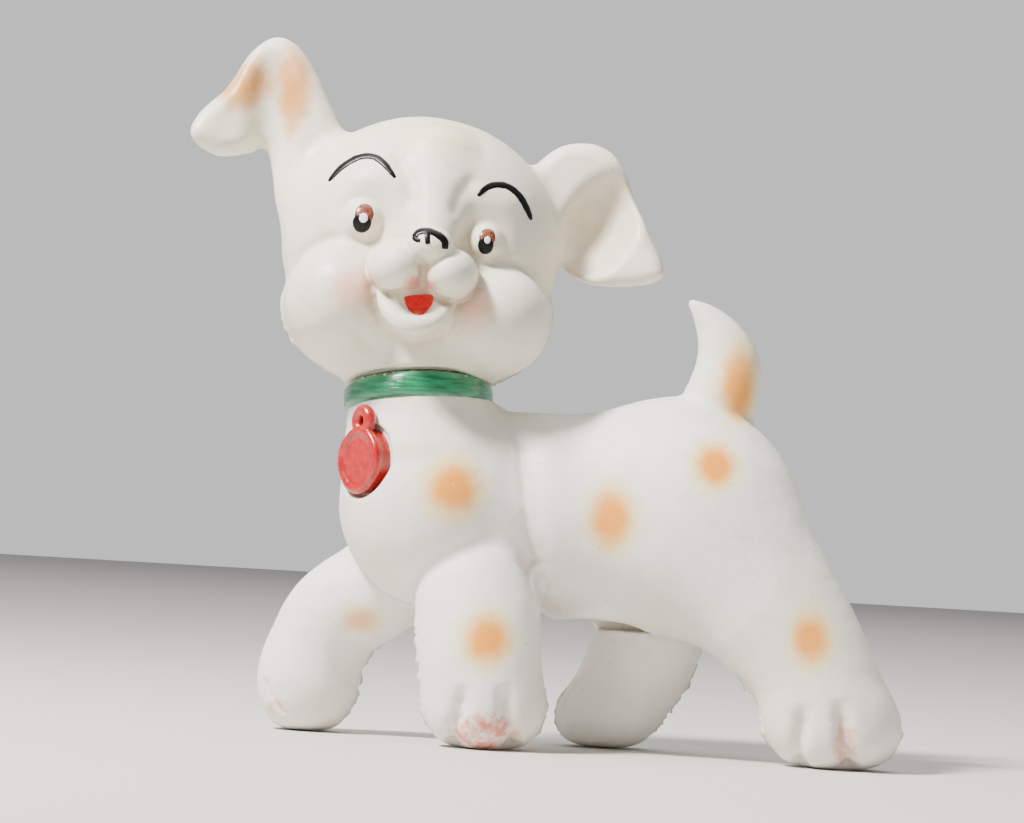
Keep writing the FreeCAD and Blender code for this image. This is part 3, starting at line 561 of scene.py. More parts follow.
def add_torn_edge(points, faces, field, y, path, height, seed):
    """Add a closed, ragged fin of rubber along a limb's outline in the plane y."""
    spine = np.array([(x, y, z) for x, z in smooth_outline(path, closed=False, steps=24)])
    for _ in range(EDGE_SETTLING_STEPS):
        value, slope = surface_at(field, spine)
        out = slope * (1, 0, 1)
        out /= np.linalg.norm(out, axis=1)[:, None]
        spine -= value[:, None] * out
    first, count = len(points), len(spine)
    for i, (here, away) in enumerate(zip(spine, out)):
        here, away = Vector(here), Vector(away)
        taper = min(1, 6 * min(i, count - 1 - i) / count)
        tear = torn(here, 1.6, 0.5, 0.8, seed)
        tall = THINNEST + height * taper * max(tear, 0.1)
        foot, thick = here - away * FIN_ROOT, ACROSS * (THINNEST + 0.15 * taper)
        sway = ACROSS * 0.35 * tall * noise.noise(here / 2 + ACROSS * seed)
        points += [foot - thick, foot + thick, here + away * tall + sway]
    faces += fin_quads(first, count, closed=False)
    last = first + 3 * (count - 1)
    faces += [(first, first + 1, first + 2), (last, last + 2, last + 1)]


def face_outwards(thing):
    """Turn every face of a closed mesh outwards."""
    with edited(thing) as mesh:
        bmesh.ops.remove_doubles(mesh, verts=mesh.verts, dist=1e-6)
        bmesh.ops.recalc_face_normals(mesh, faces=mesh.faces)
    return thing


body_skin = sculpt(
    "body_skin", body_field, *BODY_BOX, grooves=grooves_on(body_field, BODY_GROOVES), swells=BODY_SWELLS
)
near_skin, far_skin = halves(
    body_skin, ("body_left_skin", "body_right_skin"), [(TAIL_CUT, TAIL_UP), GROUND_CUT], (0, 0, 0), ACROSS
)
tail_skin = sculpt("tail_skin", body_field, *TAIL_BOX, planes=[(TAIL_CUT, -TAIL_UP)])
body_flash = flash("body_flash", near_skin, (0, 0, 0), ACROSS, BODY_TEARS, seed=3)
TORN_EDGES = [  # plane y, path of (x, z), height
    (-17, [(-23.0, 31), (-22.0, 16), (-20.6, 2.5)], 1.0),
    (-17, [(5.5, 15), (6.4, 9), (5.2, 2)], 0.7),
    (-17, [(51.5, 22), (56.0, 15), (57.5, 3)], 1.2),
    (-17, [(87.0, 10), (86.8, 6), (84.6, 2)], 0.7),
    (17, [(-31.0, 27), (-37.0, 20), (-38.2, 11), (-40.6, 3.5)], 1.1),
    (16, [(41.5, 26), (37.5, 14), (32.0, 3)], 0.9),
    (16, [(12.0, 14), (9.2, 8), (10.6, 2)], 0.7),
]
fin_points, fin_faces = [], []
for seed, (plane_y, path, height) in enumerate(TORN_EDGES, start=2):
    add_torn_edge(fin_points, fin_faces, body_field, plane_y, path, height, seed)
leg_flash = face_outwards(new_object("leg_flash", fin_points, fin_faces))

# ---- head and ears

CRANIUM = ((-28.9, 6.6, 115.2), (32.6, 25.2, 30.3))
JOWLS = ((-29.0, 4.6, 99.6), (31.8, 22.0, 19.4))
CHEEKS = [((-45.6, -8.4, 100.6), (13.4, 14.2, 13.6)), ((-10.2, -8.6, 97.8), (12.4, 13.8, 12.8))]
EYE_SOCKETS = [((-42.4, -20.4, 121.0), (9.6, 5.4, 10.4)), ((-12.8, -18.8, 117.4), (8.6, 5.4, 10.2))]
EYEBALLS = [((-41.7, -12.6, 118.6), (5.4, 5.6, 5.2)), ((-13.9, -11.2, 115.2), (4.8, 5.6, 5.0))]
WHISKER_PADS = [((-33.3, -19.6, 108.0), (6.8, 10.4, 6.3)), ((-21.4, -19.6, 107.0), (6.6, 10.4, 6.1))]
BRIDGE = ((-25.2, -4.0, 133.0), (-25.9, -18.2, 114.6), 9.6, 5.4)
NOSE = ((-26.1, -25.0, 113.0), (5.5, 5.0, 4.5))
LOWER_JAW = ((-28.9, -14.4, 99.8), (9.0, 11.6, 7.0))
MOUTH = ((-28.3, -27.6, 101.6), (5.2, 4.8, 5.0))
LIP = [
    (-37.0, -20.6, 102.6, 1.3),
    (-34.9, -23.4, 98.4, 1.7),
    (-31.9, -25.2, 95.7, 2.0),
    (-28.6, -25.8, 94.8, 2.1),
    (-25.2, -25.2, 95.6, 2.0),
    (-22.4, -23.2, 98.0, 1.7),
    (-20.6, -20.4, 100.6, 1.3),
]

DROOP_OUTLINE = smooth_outline(
    [(-9, 128), (-3.8, 135.2), (2.2, 140.6), (8.4, 141.9), (14.0, 140.3), (17.6, 136.2), (20.6, 129.4)]
    + [(24.0, 121.8), (28.0, 113.4), (26.6, 109.9), (18.6, 108.2), (11.1, 108.5), (5.6, 111.2)]
    + [(3.0, 117.5), (-3, 121)]
)
RAISED_OUTLINE = smooth_outline(
    [(-56, 118), (-62.6, 121.8), (-65.2, 130.6), (-67.3, 136.2), (-71.4, 135.0), (-78.3, 133.9)]
    + [(-84.2, 137.8), (-82.8, 143.4), (-76.8, 150.4), (-72.0, 159.0), (-66.6, 163.2), (-61.2, 161.6)]
    + [(-56.4, 155.6), (-51.8, 147.0), (-48.4, 140.2), (-44, 134)]
)
DISH = ((12.4, -0.2, 123.2), (8.8, 10.0, 15.4), 25)
FOLD = [(-66.4, 7.8, 162, 2.0), (-66.4, 6.4, 152, 3.6), (-65.8, 5.2, 143, 4.2), (-66.2, 4.2, 133, 4.2)]


def droop_bend(x, z):
    """The drooping ear hangs a little forwards at its tip."""
    return neck_y(z) - 0.005 * (x - 4) ** 2


def raised_bend(x, z):
    """The raised ear's folded tip leans forwards."""
    return neck_y(z) - 0.012 * np.clip(-66 - x, 0, None) ** 2


def ears_field(p):
    """Both ears, as leaves that run into the head."""
    droop = leaf(p, DROOP_OUTLINE, 4.4, 3.4, droop_bend)
    droop = carve(droop, egg(p, *DISH), 2.6)
    raised = leaf(p, RAISED_OUTLINE, 5.2, 4.4, raised_bend)
    raised = carve(raised, limb(p, FOLD, 1), 4)
    return droop, raised


def skull_field(p):
    """The head without its ears."""
    field = melt(egg(p, *JOWLS), melt(egg(p, *CHEEKS[0]), egg(p, *CHEEKS[1]), 2), 5)
    field = melt(field, drum(p, NECK_POINT, NECK_AXIS, 16.9, 4.2, 20), 3)
    brow = egg(p, *CRANIUM)
    for socket in EYE_SOCKETS:
        brow = carve(brow, egg(p, *socket), 3.4)
    brow = melt(brow, stick(p, *BRIDGE), 2.4)
    field = melt(brow, field, 1.8)
    for ball in EYEBALLS:
        field = melt(field, egg(p, *ball), 0.9)
    field = melt(field, egg(p, *LOWER_JAW), 1.8)
    field = carve(field, egg(p, *MOUTH), 1.0)
    field = melt(field, limb(p, LIP, 1), 0.9)
    pads = melt(egg(p, *WHISKER_PADS[0]), egg(p, *WHISKER_PADS[1]), 1.2)
    field = melt(field, pads, 0.9)
    return melt(field, egg(p, *NOSE), 1.0)


def head_field(p):
    """The whole skin of the head, with the ears melted on and room for the neck below."""
    droop, raised = ears_field(p)
    field = melt(melt(skull_field(p), droop, 3.0), raised, 5.0)
    return carve(field, drum(p, NECK_POINT, NECK_AXIS, NECK_BORE, -20, 12), 0.5)


HEAD_GROOVES = [
    ([(-36.6, 135), (-31.8, 128.5), (-30.4, 121)], 0.8, 1.9),
    ([(-16.2, 131), (-20.0, 125.5), (-21.6, 120)], 0.8, 1.9),
    ([(-27.4, 112), (-27.4, 104), (-28.0, 101)], 0.6, 0.9),
    ([(-36.6, 102.4), (-32.0, 102.6), (-28.2, 103.0), (-23.6, 101.6), (-20.0, 100.0)], 1.0, 0.8),
    ([(-39.4, 105), (-38.8, 100), (-35, 94.4), (-29, 91.6), (-22.6, 93.6), (-18.4, 98.5)], 0.8, 1.6),
    ([(-59.0, 105.0), (-56.4, 110.4), (-50.8, 114.2), (-45.4, 115.4)], 0.7, 1.2),
    ([(-9.8, 112.0), (-4.6, 110.2), (-0.4, 106.0), (1.4, 101)], 0.7, 1.2),
    ([(-42.0, 93.0), (-39.2, 90.2), (-36.8, 88.6)], 0.5, 1.1),
]
HEAD_SWELLS = [
    ((-42.5, -16, 129), (7, 9, 4), 0.7),
    ((-10.5, -13, 125), (6, 9, 4), 0.7),
    ((-28.4, -18, 88.5), (9, 9, 4.5), 0.7),
]
HEAD_BOX = ((-70, -37, 78), (16, 36, 150))
DROOP_BOX = ((-8, -8, 102), (34, 20, 148))
RAISED_BOX = ((-90, -8, 108), (-40, 26, 168))
DROOP_CUT, DROOP_OUT = Vector((2.9, 8, 127.0)), Vector((0.905, 0, 0.425))
RAISED_CUT, RAISED_OUT = Vector((-58.3, 9, 133.2)), Vector((-0.866, 0, 0.5))
PARTING = NECK_AXIS.cross(ACROSS).cross(NECK_AXIS).normalized()
HEAD_TEARS = [((-58, 0, 92), 9, 0.7), ((-8, 0, 84), 7, 0.9)]

head_skin = sculpt(
    "head_skin", head_field, *HEAD_BOX, grooves=grooves_on(skull_field, HEAD_GROOVES), swells=HEAD_SWELLS
)
head_surface = BVHTree.FromPolygons(
    [vert.co / MM for vert in head_skin.data.vertices],
    [tuple(face.vertices) for face in head_skin.data.polygons],
)
face_skin, back_skin = halves(
    head_skin,
    ("head_face_skin", "head_back_skin"),
    [(DROOP_CUT, DROOP_OUT), (RAISED_CUT, RAISED_OUT)],
    NECK_POINT,
    PARTING,
)
droop_skin = sculpt(
    "left_ear_skin", head_field, *DROOP_BOX, planes=[(DROOP_CUT, -DROOP_OUT)], heart=(14, 8, 112)
)
raised_skin = sculpt(
    "right_ear_skin", head_field, *RAISED_BOX, planes=[(RAISED_CUT, -RAISED_OUT)], heart=(-75, 8, 140)
)
head_flash = flash("head_flash", face_skin, NECK_POINT, PARTING, HEAD_TEARS, seed=5)

# ---- paint that stands on the face

PAINT_ROOT = 0.35  # how deep a pad of paint sits in the skin
LIFT = 0.02  # keeps paint with no height just off the skin
IN_FRONT = -80  # y of a point well in front of the face


def painted(name, rows, thickness, closed_rows):
    """A thin closed pad of paint: rows of (x, z, height share) laid on the face.

    closed_rows means that each row is a ring, the last of them tiny.
    """
    top, bottom = [], []
    for row in rows:
        for x, z, share in row:
            hit, normal, _, _ = head_surface.ray_cast(Vector((x, IN_FRONT, z)), ACROSS)
            top.append(hit + normal * (LIFT + thickness * share))
            bottom.append(hit - normal * PAINT_ROOT)
    count = len(rows[0])
    faces = []
    steps = count if closed_rows else count - 1
    for r in range(len(rows) - 1):
        for i in range(steps):
            j = (i + 1) % count
            a, b = r * count + i, r * count + j
            faces.append((a, b, b + count, a + count))
    if closed_rows:
        rim = list(range(count))
    else:
        grid = np.arange(len(rows) * count).reshape(len(rows), count)
        sides = (grid[0], grid[1:, -1], grid[-1, -2::-1], grid[-2:0:-1, 0])
        rim = np.concatenate(sides).tolist()
    size = len(top)
    faces += [tuple(size + i for i in reversed(face)) for face in faces]
    faces += [(i, size + i, size + j, j) for i, j in zip(rim, rim[1:] + rim[:1])]
    return face_outwards(new_object(name, top + bottom, faces))


SMALLEST_RING = 0.02  # the innermost ring of a blot, as a share of its outline


def blot(name, outline, thickness, rings):
    """A filled patch of paint inside a closed outline."""
    outline = np.asarray(outline)
    middle = outline.mean(0)
    rows = []
    for i in range(rings + 1):
        inner = i / rings
        share = math.sqrt(max(1 - (1 - inner) ** 6, 0))
        ring = middle + (outline - middle) * max(1 - inner, SMALLEST_RING)
        rows.append([(x, z, share) for x, z in ring])
    return painted(name, rows, thickness, True)


UNEVEN_OVAL = 0.03


def oval(centre, radii, turn, count):
    """A slightly uneven ellipse of points."""
    c, s = math.cos(math.radians(turn)), math.sin(math.radians(turn))
    points = []
    for i in range(count):
        angle = 2 * math.pi * i / count
        rough = 1 + UNEVEN_OVAL * noise.noise(Vector((3 * math.cos(angle), 3 * math.sin(angle), centre[0])))
        a, b = radii[0] * rough * math.cos(angle), radii[1] * rough * math.sin(angle)
        points.append((centre[0] + a * c + b * s, centre[1] - a * s + b * c))
    return points


ACROSS_STROKE = np.linspace(-1, 1, 7)


def stroke(name, path, width, thickness, taper=0.35):
    """A brush stroke along a path, thick in its middle and thinner at both ends."""
    line = smooth_outline(path, closed=False, steps=10)
    count = len(line)
    rows = []
    for i, point in enumerate(line):
        ahead, behind = line[min(i + 1, count - 1)], line[max(i - 1, 0)]
        along = (ahead - behind) / max(np.linalg.norm(ahead - behind), 1e-9)
        side = np.array((-along[1], along[0]))
        end = min(i, count - 1 - i) / (count - 1) * 2
        swell = taper + (1 - taper) * min(1, end * 2.4) ** 0.6
        wobble = 1 + 0.10 * noise.noise(Vector((point[0] * 0.9, 0, point[1] * 0.9)))
        half = width / 2 * swell * wobble
        row = []
        for across in ACROSS_STROKE:
            share = math.sqrt(1 - across**4) * min(1, 0.25 + end * 6)
            row.append((*(point + side * across * half), share))
        rows.append(row)
    return painted(name, rows, thickness, False)


BROWS = {
    "right_brow": [(-50.7, 127.8), (-47.9, 131.2), (-44.2, 133.6), (-40.8, 133.9), (-38.0, 132.2)]
    + [(-35.2, 128.9)],
    "left_brow": [(-16.1, 125.9), (-14.2, 128.0), (-11.9, 129.0), (-9.2, 128.8), (-6.5, 126.9)]
    + [(-4.6, 124.0), (-3.5, 121.6)],
}
BROW_WIDTH = 1.6
NOSE_LINES = {
    "nose_cap": (
        [(-29.7, 114.4), (-28.8, 115.8), (-26.6, 116.1), (-24.3, 115.3), (-22.8, 114.0), (-22.6, 112.2)],
        1.7,
    ),
    "nose_middle": ([(-26.8, 116.1), (-26.7, 114.6), (-26.5, 113.0)], 1.3),
    "nose_hook": ([(-29.9, 114.6), (-29.2, 113.9), (-28.2, 113.8)], 1.1),
}
TONGUE = [(-31.3, 101.0), (-29.2, 101.8), (-25.1, 102.1), (-24.8, 100.0), (-26.3, 97.8), (-28.0, 97.1)]
TONGUE += [(-30.1, 98.3)]

black_paint = [stroke(name, path, BROW_WIDTH, 0.22) for name, path in BROWS.items()]
black_paint += [stroke(name, path, width, 0.2, taper=0.7) for name, (path, width) in NOSE_LINES.items()]

EYE_PAINT = {  # centre and radii on the right and on the left eye, turn, thickness, points, rings
    "iris": (((-41.7, 119.9), (2.15, 2.6)), ((-13.35, 116.3), (1.85, 2.2)), 8, 0.10, 40, 7),
    "pupil": (((-42.1, 118.0), (2.15, 2.35)), ((-13.6, 114.6), (1.8, 2.1)), 5, 0.18, 40, 7),
    "gleam": (((-41.8, 119.0), (1.15, 1.25)), ((-13.3, 115.7), (0.8, 0.95)), 0, 0.30, 24, 4),
}


def eye_paint(part):
    """One layer of paint on both eyes."""
    *eyes, turn, thickness, count, rings = EYE_PAINT[part]
    sides = zip(("right_", "left_"), eyes)
    return [blot(side + part, oval(*eye, turn, count), thickness, rings) for side, eye in sides]


iris_paint = eye_paint("iris")
pupil_paint = eye_paint("pupil")
gleam_paint = eye_paint("gleam")
tongue_paint = blot("tongue", smooth_outline(TONGUE), 0.5, rings=7)

# ---- collar and name tag

COLLAR_STEPS = 260
COLLAR_LOW, COLLAR_HIGH = -3.3, 3.0  # along the neck's axis
COLLAR_RADIUS = 17.3
STRAP_FOOT = NECK_BORE + 1.1  # radius the bulge rises from
BRUSH_RADIUS = 16  # of the ring that the brushed noise is read on


def collar_ring(name):
    """The painted band: a bulging strap with a hand-brushed, uneven surface."""
    middle, half = (COLLAR_LOW + COLLAR_HIGH) / 2, (COLLAR_HIGH - COLLAR_LOW) / 2
    outline = [(NECK_BORE, COLLAR_LOW + 0.2), (NECK_BORE + 1, COLLAR_LOW)]
    for t in np.linspace(-1, 1, 15):
        bulge = (1 - abs(t) ** 3.2) ** 0.6
        outline.append((STRAP_FOOT + (COLLAR_RADIUS - STRAP_FOOT) * bulge, middle + t * half))
    outline += [(NECK_BORE + 1, COLLAR_HIGH), (NECK_BORE, COLLAR_HIGH - 0.2)]
    ahead = Vector((1, 0, 0))
    ahead = (ahead - NECK_AXIS * ahead.dot(NECK_AXIS)).normalized()
    side = NECK_AXIS.cross(ahead)
    points, faces = [], []
    ring = len(outline)
    for i in range(COLLAR_STEPS):
        angle = 2 * math.pi * i / COLLAR_STEPS
        c, s = math.cos(angle), math.sin(angle)
        for radius, height in outline:
            spot = Vector((c * BRUSH_RADIUS, s * BRUSH_RADIUS, height))
            streak = Vector((spot.x / 3, spot.y / 3, height * 1.6))
            brush = 0.16 * noise.noise(spot / 5) + 0.07 * noise.noise(streak)
            lift = brush if radius > NECK_BORE + 0.5 else 0
            out = (ahead * c + side * s) * (radius + lift)
            points.append(NECK_POINT + NECK_AXIS * (height + 0.5 * lift) + out)
        for k in range(ring):
            a, b = i * ring, (i + 1) % COLLAR_STEPS * ring
            after = (k + 1) % ring
            faces.append((a + k, b + k, b + after, a + after))
    return new_object(name, points, faces)


collar = collar_ring("collar")
RING_MIDDLE = TAG_MIDDLE + Vector((0, 0, 8.9)) + TAG_NORMAL * 0.6


def tag_field(p):
    """A thick round medallion with a raised rim, its face dished."""
    disc = drum(p, TAG_MIDDLE, TAG_NORMAL, 7.2, -TAG_BACK_DEPTH, 1.4) - 0.3
    rim = hoop(p, TAG_MIDDLE, TAG_NORMAL, 6.7, 1.05, lift=1.3)
    return melt(disc, rim, 0.9)


def ring_field(p):
    """The bail: a fat ring standing on the medallion's top edge."""
    return hoop(p, RING_MIDDLE, TAG_NORMAL, 2.35, 1.55)


TAG_BOX = (TAG_MIDDLE - Vector((13, 13, 13)), TAG_MIDDLE + Vector((13, 13, 13)))
RING_BOX = (RING_MIDDLE - Vector((7, 7, 7)), RING_MIDDLE + Vector((7, 7, 7)))

tag_skin = sculpt("tag_skin", tag_field, *TAG_BOX, wobble=0.22, step=SMALL_CELL)
ring_skin = sculpt("tag_ring_skin", ring_field, *RING_BOX, step=SMALL_CELL)

# ---- materials


def plug(tree, socket, value):
    """Put a value or another node's output into a socket."""
    if isinstance(value, bpy.types.NodeSocket):
        tree.links.new(value, socket)
    elif socket.type == "RGBA":
        socket.default_value = (*value, 1)
    else:
        socket.default_value = value


def add_node(tree, kind, inputs, **settings):
    """A new shader node with its settings, its inputs linked or set."""
    node = tree.nodes.new("ShaderNode" + kind)
    for name, value in settings.items():
        setattr(node, name, value)
    for socket, value in inputs.items():
        plug(tree, node.inputs[socket], value)
    return node


def smooth_step(tree, value, low, high, start, end):
    """A value's smooth step from start to end between two limits."""
    inputs = {"Value": value, "From Min": low, "From Max": high, "To Min": start, "To Max": end}
    return add_node(tree, "MapRange", inputs, interpolation_type="SMOOTHSTEP").outputs["Result"]


class Finish:
    """One procedural material whose patterns are laid out in the frame's millimetres."""

    def __init__(self, name, roughness, **inputs):
        self.material = bpy.data.materials.new(name)
        self.material.use_nodes = True
        self.tree = self.material.node_tree
        self.shader = self.tree.nodes["Principled BSDF"]
        for socket, value in {"Roughness": roughness, **inputs}.items():
            self.shader.inputs[socket.replace("_", " ")].default_value = value
        place = self.tree.nodes.new("ShaderNodeTexCoord").outputs["Object"]
        scaled = self.node("VectorMath", {0: place, "Scale": 1 / MM}, operation="SCALE")
        self.here = scaled.outputs["Vector"]

    def node(self, kind, inputs, **settings):
        """A node of this material."""
        return add_node(self.tree, kind, inputs, **settings)

    def vector(self, operation, a, b=(0, 0, 0)):
        """Vector maths."""
        node = self.node("VectorMath", {0: a, 1: b}, operation=operation)
        return node.outputs["Value" if operation in ("LENGTH", "DOT_PRODUCT") else "Vector"]

    def calc(self, operation, a, b, clamp=False):
        """Number maths."""
        return self.node("Math", {0: a, 1: b}, operation=operation, use_clamp=clamp).outputs[0]

    def cloud(self, size, detail=3.0, rough=0.55, stretch=(1, 1, 1), shift=(0, 0, 0)):
        """Noise from 0 to 1 with features of `size` millimetres."""
        spot = self.vector("ADD", self.vector("MULTIPLY", self.here, stretch), shift)
        inputs = {"Vector": spot, "Scale": 1 / size, "Detail": detail, "Roughness": rough}
        return self.node("TexNoise", inputs).outputs["Fac"]

    def specks(self, size, seed=0.0):
        """Distance from scattered points, in cells of `size` millimetres."""
        spot = self.vector("ADD", self.here, (seed, seed, seed))
        return self.node("TexVoronoi", {"Vector": spot, "Scale": 1 / size}).outputs["Distance"]

    def ramp(self, value, low, high, start=0.0, end=1.0):
        """Smooth step of a value between two limits."""
        return smooth_step(self.tree, value, low, high, start, end)

    def blend(self, share, a, b):
        """Mix two colours; the numbers are the Mix node's sockets for colour."""
        return self.node("Mix", {0: share, 6: a, 7: b}, data_type="RGBA").outputs[2]

    def fold_shade(self):
        """The mesh's own measure of how deep in a fold it lies, 0 on open skin."""
        return self.node("Attribute", {}, attribute_name="crevice").outputs["Fac"]

    def from_point(self, centre, radii, warp, warp_size):
        """Distance from a centre in units of the radii, its edge roughened by `warp`."""
        away = self.vector("SUBTRACT", self.here, centre)
        distance = self.vector("LENGTH", self.vector("DIVIDE", away, radii))
        rough = self.ramp(self.cloud(warp_size, 4.0, 0.65), 0.2, 0.8, -warp, warp)
        return self.calc("ADD", distance, rough)

    def sprayed(self, base, reach, fade, share, tint):
        """Colour laid over a base, fading in between two reaches from a point."""
        return self.blend(self.ramp(reach, *fade, 0.0, share), base, tint)

    def colour(self, value):
        """Set the surface's colour."""
        plug(self.tree, self.shader.inputs["Base Color"], value)

    def relief(self, *layers):
        """Raise the surface by (height 0 to 1, millimetres) layers."""
        below = {}
        for height, amount in layers:
            bump = self.node("Bump", {"Distance": amount * MM, "Height": height, **below})
            below = {"Normal": bump.outputs["Normal"]}
        plug(self.tree, self.shader.inputs["Normal"], below["Normal"])


WHITE_RUBBER = (0.84, 0.82, 0.765)
HEAD_RUBBER = (0.77, 0.72, 0.59)
HIDDEN_RUBBER = (0.70, 0.66, 0.56)
IVORY_RUBBER = (0.78, 0.72, 0.60)
GREY_DIRT = (0.42, 0.38, 0.33)
TAN_DIRT_AND_SHADE = (0.46, 0.34, 0.22)
EAR_DISH_SHADE_TAN = (0.62, 0.46, 0.28)
ORANGE = (0.88, 0.29, 0.0)
YELLOW_HALO = (0.92, 0.66, 0.20)
BLUSH = (0.86, 0.36, 0.22)
TOE_RED = (0.70, 0.16, 0.09)
EAR_ORANGE = (0.60, 0.23, 0.02)
MOUTH_RED = (0.60, 0.06, 0.03)
TIN = (0.60, 0.60, 0.58)
BRASS = (0.72, 0.50, 0.20)
DARK_GREEN = (0.002, 0.10, 0.038)
LIGHT_GREEN = (0.008, 0.26, 0.105)
DARK_RED = (0.28, 0.002, 0.002)
LIGHT_RED = (0.50, 0.006, 0.005)
RED_SHADE_IN_FOLDS = (0.16, 0.006, 0.006)

# Airbrushed dots: centre, radii, share of the orange that shows.
SPOTS = [
    ((-17.8, -22, 58.6), (6.9, 14, 6.9), 0.95),
    ((18.5, -21, 53.9), (5.6, 14, 7.4), 0.95),
    ((41.2, -21, 67.1), (5.4, 16, 5.6), 1.0),
    ((-8.1, -28, 25.1), (5.9, 10, 6.3), 0.95),
    ((64.6, -28, 29.3), (4.8, 12, 6.4), 0.9),
    ((-37.9, 6, 27.6), (5.0, 6, 3.6), 0.55),
    ((46.2, -6, 86.0), (4.4, 9, 9.6), 0.9),
    ((46.6, 6, 86.0), (4.4, 9, 9.6), 0.6),
]
EAR_PATCHES = [
    ((-74.5, 7, 148.6), (4.6, 12, 4.4)),
    ((-71.0, 7, 153.0), (4.6, 12, 4.6)),
    ((-61.6, 7, 153.6), (4.4, 12, 7.6)),
    ((-61.0, 7, 146.0), (3.4, 12, 6.4)),
]
CHEEK_BLUSH = [((-43.4, -19, 103.0), (6.4, 9, 5.6)), ((-14.4, -17, 99.6), (5.4, 9, 5.4))]
MOUTH_CLEFT = [((-28.0, -28, 103.6), (4.2, 8, 2.6))]
CROWN = [((-25, -8, 141.5), (13, 14, 6.5))]
# Painted shade: a tan patch laid in the hollow of the drooping ear's dish.
SHADED_EAR_DISH = [((12.5, 5.5, 121.5), (10, 7, 14))]
PATCHES = [  # spots, how ragged and in what size, where the colour fades in from and to, share, colour
    (EAR_PATCHES, (0.22, 5.0), (1.55, 0.35), 0.80, EAR_ORANGE),
    (CHEEK_BLUSH, (0.15, 6.0), (1.3, 0.2), 0.62, BLUSH),
    (MOUTH_CLEFT, (0.2, 2.0), (1.2, 0.4), 0.7, MOUTH_RED),
    (CROWN, (0.3, 7.0), (1.3, 0.3), 0.35, YELLOW_HALO),
    (SHADED_EAR_DISH, (0.25, 6.0), (1.15, 0.3), 0.50, EAR_DISH_SHADE_TAN),
]
RUBBED_TOES = [  # centre, radii, share
    ((-7.5, -28, 4.0), (8.0, 9, 5.0), 0.9),
    ((73.6, -30, 6.4), (3.2, 9, 6.0), 0.6),
    ((-57.5, 8, 5.0), (3.5, 6, 3.0), 0.5),
]


def rubber(name, tint):
    """Aged cream rubber with sprayed dots, rubbed toes, grime and painted shade in the folds, pits and
    specks.
    """
    skin = Finish(name, roughness=0.46, Specular_IOR_Level=0.42)
    broad = skin.cloud(38.0, 2.0)
    tone = skin.blend(skin.ramp(broad, 0.35, 0.65), tint, IVORY_RUBBER)
    tone = skin.blend(skin.ramp(broad, 0.30, 0.62, 1.0, 0.25), tone, tint)
    mottle = skin.ramp(skin.cloud(6.0, 5.0, 0.65, shift=(9, 3, 1)), 0.45, 0.75, 0.0, 0.16)
    colour = skin.blend(mottle, tone, GREY_DIRT)
    for centre, radii, share in SPOTS:
        reach = skin.from_point(centre, radii, 0.10, 4.0)
        colour = skin.sprayed(colour, reach, (1.60, 0.75), 0.70 * share, YELLOW_HALO)
        colour = skin.sprayed(colour, reach, (1.15, 0.35), 0.95 * share, ORANGE)
    for spots, ragged, fade, share, paint in PATCHES:
        for centre, radii in spots:
            reach = skin.from_point(centre, radii, *ragged)
            colour = skin.sprayed(colour, reach, fade, share, paint)
    worn = skin.ramp(skin.cloud(2.6, 5.0, 0.75, shift=(4, 4, 4)), 0.30, 0.62)
    for centre, radii, share in RUBBED_TOES:
        reach = skin.from_point(centre, radii, 0.35, 2.0)
        patch = skin.calc("MULTIPLY", skin.ramp(reach, 1.15, 0.55, 0.0, share), worn, clamp=True)
        colour = skin.blend(patch, colour, TOE_RED)
    # Grime and painted shade: the folds are darkened towards tan by the mesh's crevice value.
    patchy_dust_and_shade = skin.ramp(skin.cloud(2.4, 4.0, 0.6), 0.3, 0.7, 0.5, 1.0)
    grime_and_shade = skin.calc("MULTIPLY", skin.fold_shade(), patchy_dust_and_shade, clamp=True)
    colour = skin.blend(skin.ramp(grime_and_shade, 0.06, 0.80, 0.0, 0.62), colour, TAN_DIRT_AND_SHADE)
    freckle = skin.ramp(skin.specks(5.5), 0.055, 0.035, 0.0, 0.65)
    colour = skin.blend(freckle, colour, GREY_DIRT)
    skin.colour(colour)
    gloss = skin.ramp(skin.cloud(9.0, 4.0, 0.6, shift=(2, 7, 5)), 0.3, 0.7, 0.38, 0.58)
    plug(skin.tree, skin.shader.inputs["Roughness"], gloss)
    pits = skin.ramp(skin.specks(4.3, 3.0), 0.03, 0.09)
    skin.relief((skin.cloud(3.5, 3.0, 0.5), 0.10), (skin.cloud(0.55, 2.0, 0.5), 0.018), (pits, 0.10))
    return skin.material


ENAMEL = {"Specular_IOR_Level": 0.55, "Coat_Weight": 0.4, "Coat_Roughness": 0.12}


def green_enamel(name):
    """Glossy green paint laid on with a brush round the collar, chipped along its top edge."""
    paint = Finish(name, roughness=0.22, **ENAMEL)
    streaks = paint.cloud(1.3, 4.0, 0.65, stretch=(0.22, 0.22, 1.7))
    colour = paint.blend(paint.ramp(streaks, 0.3, 0.7), DARK_GREEN, LIGHT_GREEN)
    along = paint.vector("DOT_PRODUCT", paint.vector("SUBTRACT", paint.here, NECK_POINT), NECK_AXIS)
    chips = paint.ramp(paint.cloud(2.6, 5.0, 0.7), 0.55, 0.75, 0.0, 1.6)
    bare = paint.ramp(paint.calc("ADD", along, chips), COLLAR_HIGH - 0.1, COLLAR_HIGH + 0.2)
    colour = paint.blend(bare, colour, WHITE_RUBBER)
    paint.colour(colour)
    paint.relief((streaks, 0.22), (paint.cloud(0.5, 3.0, 0.6), 0.03))
    return paint.material


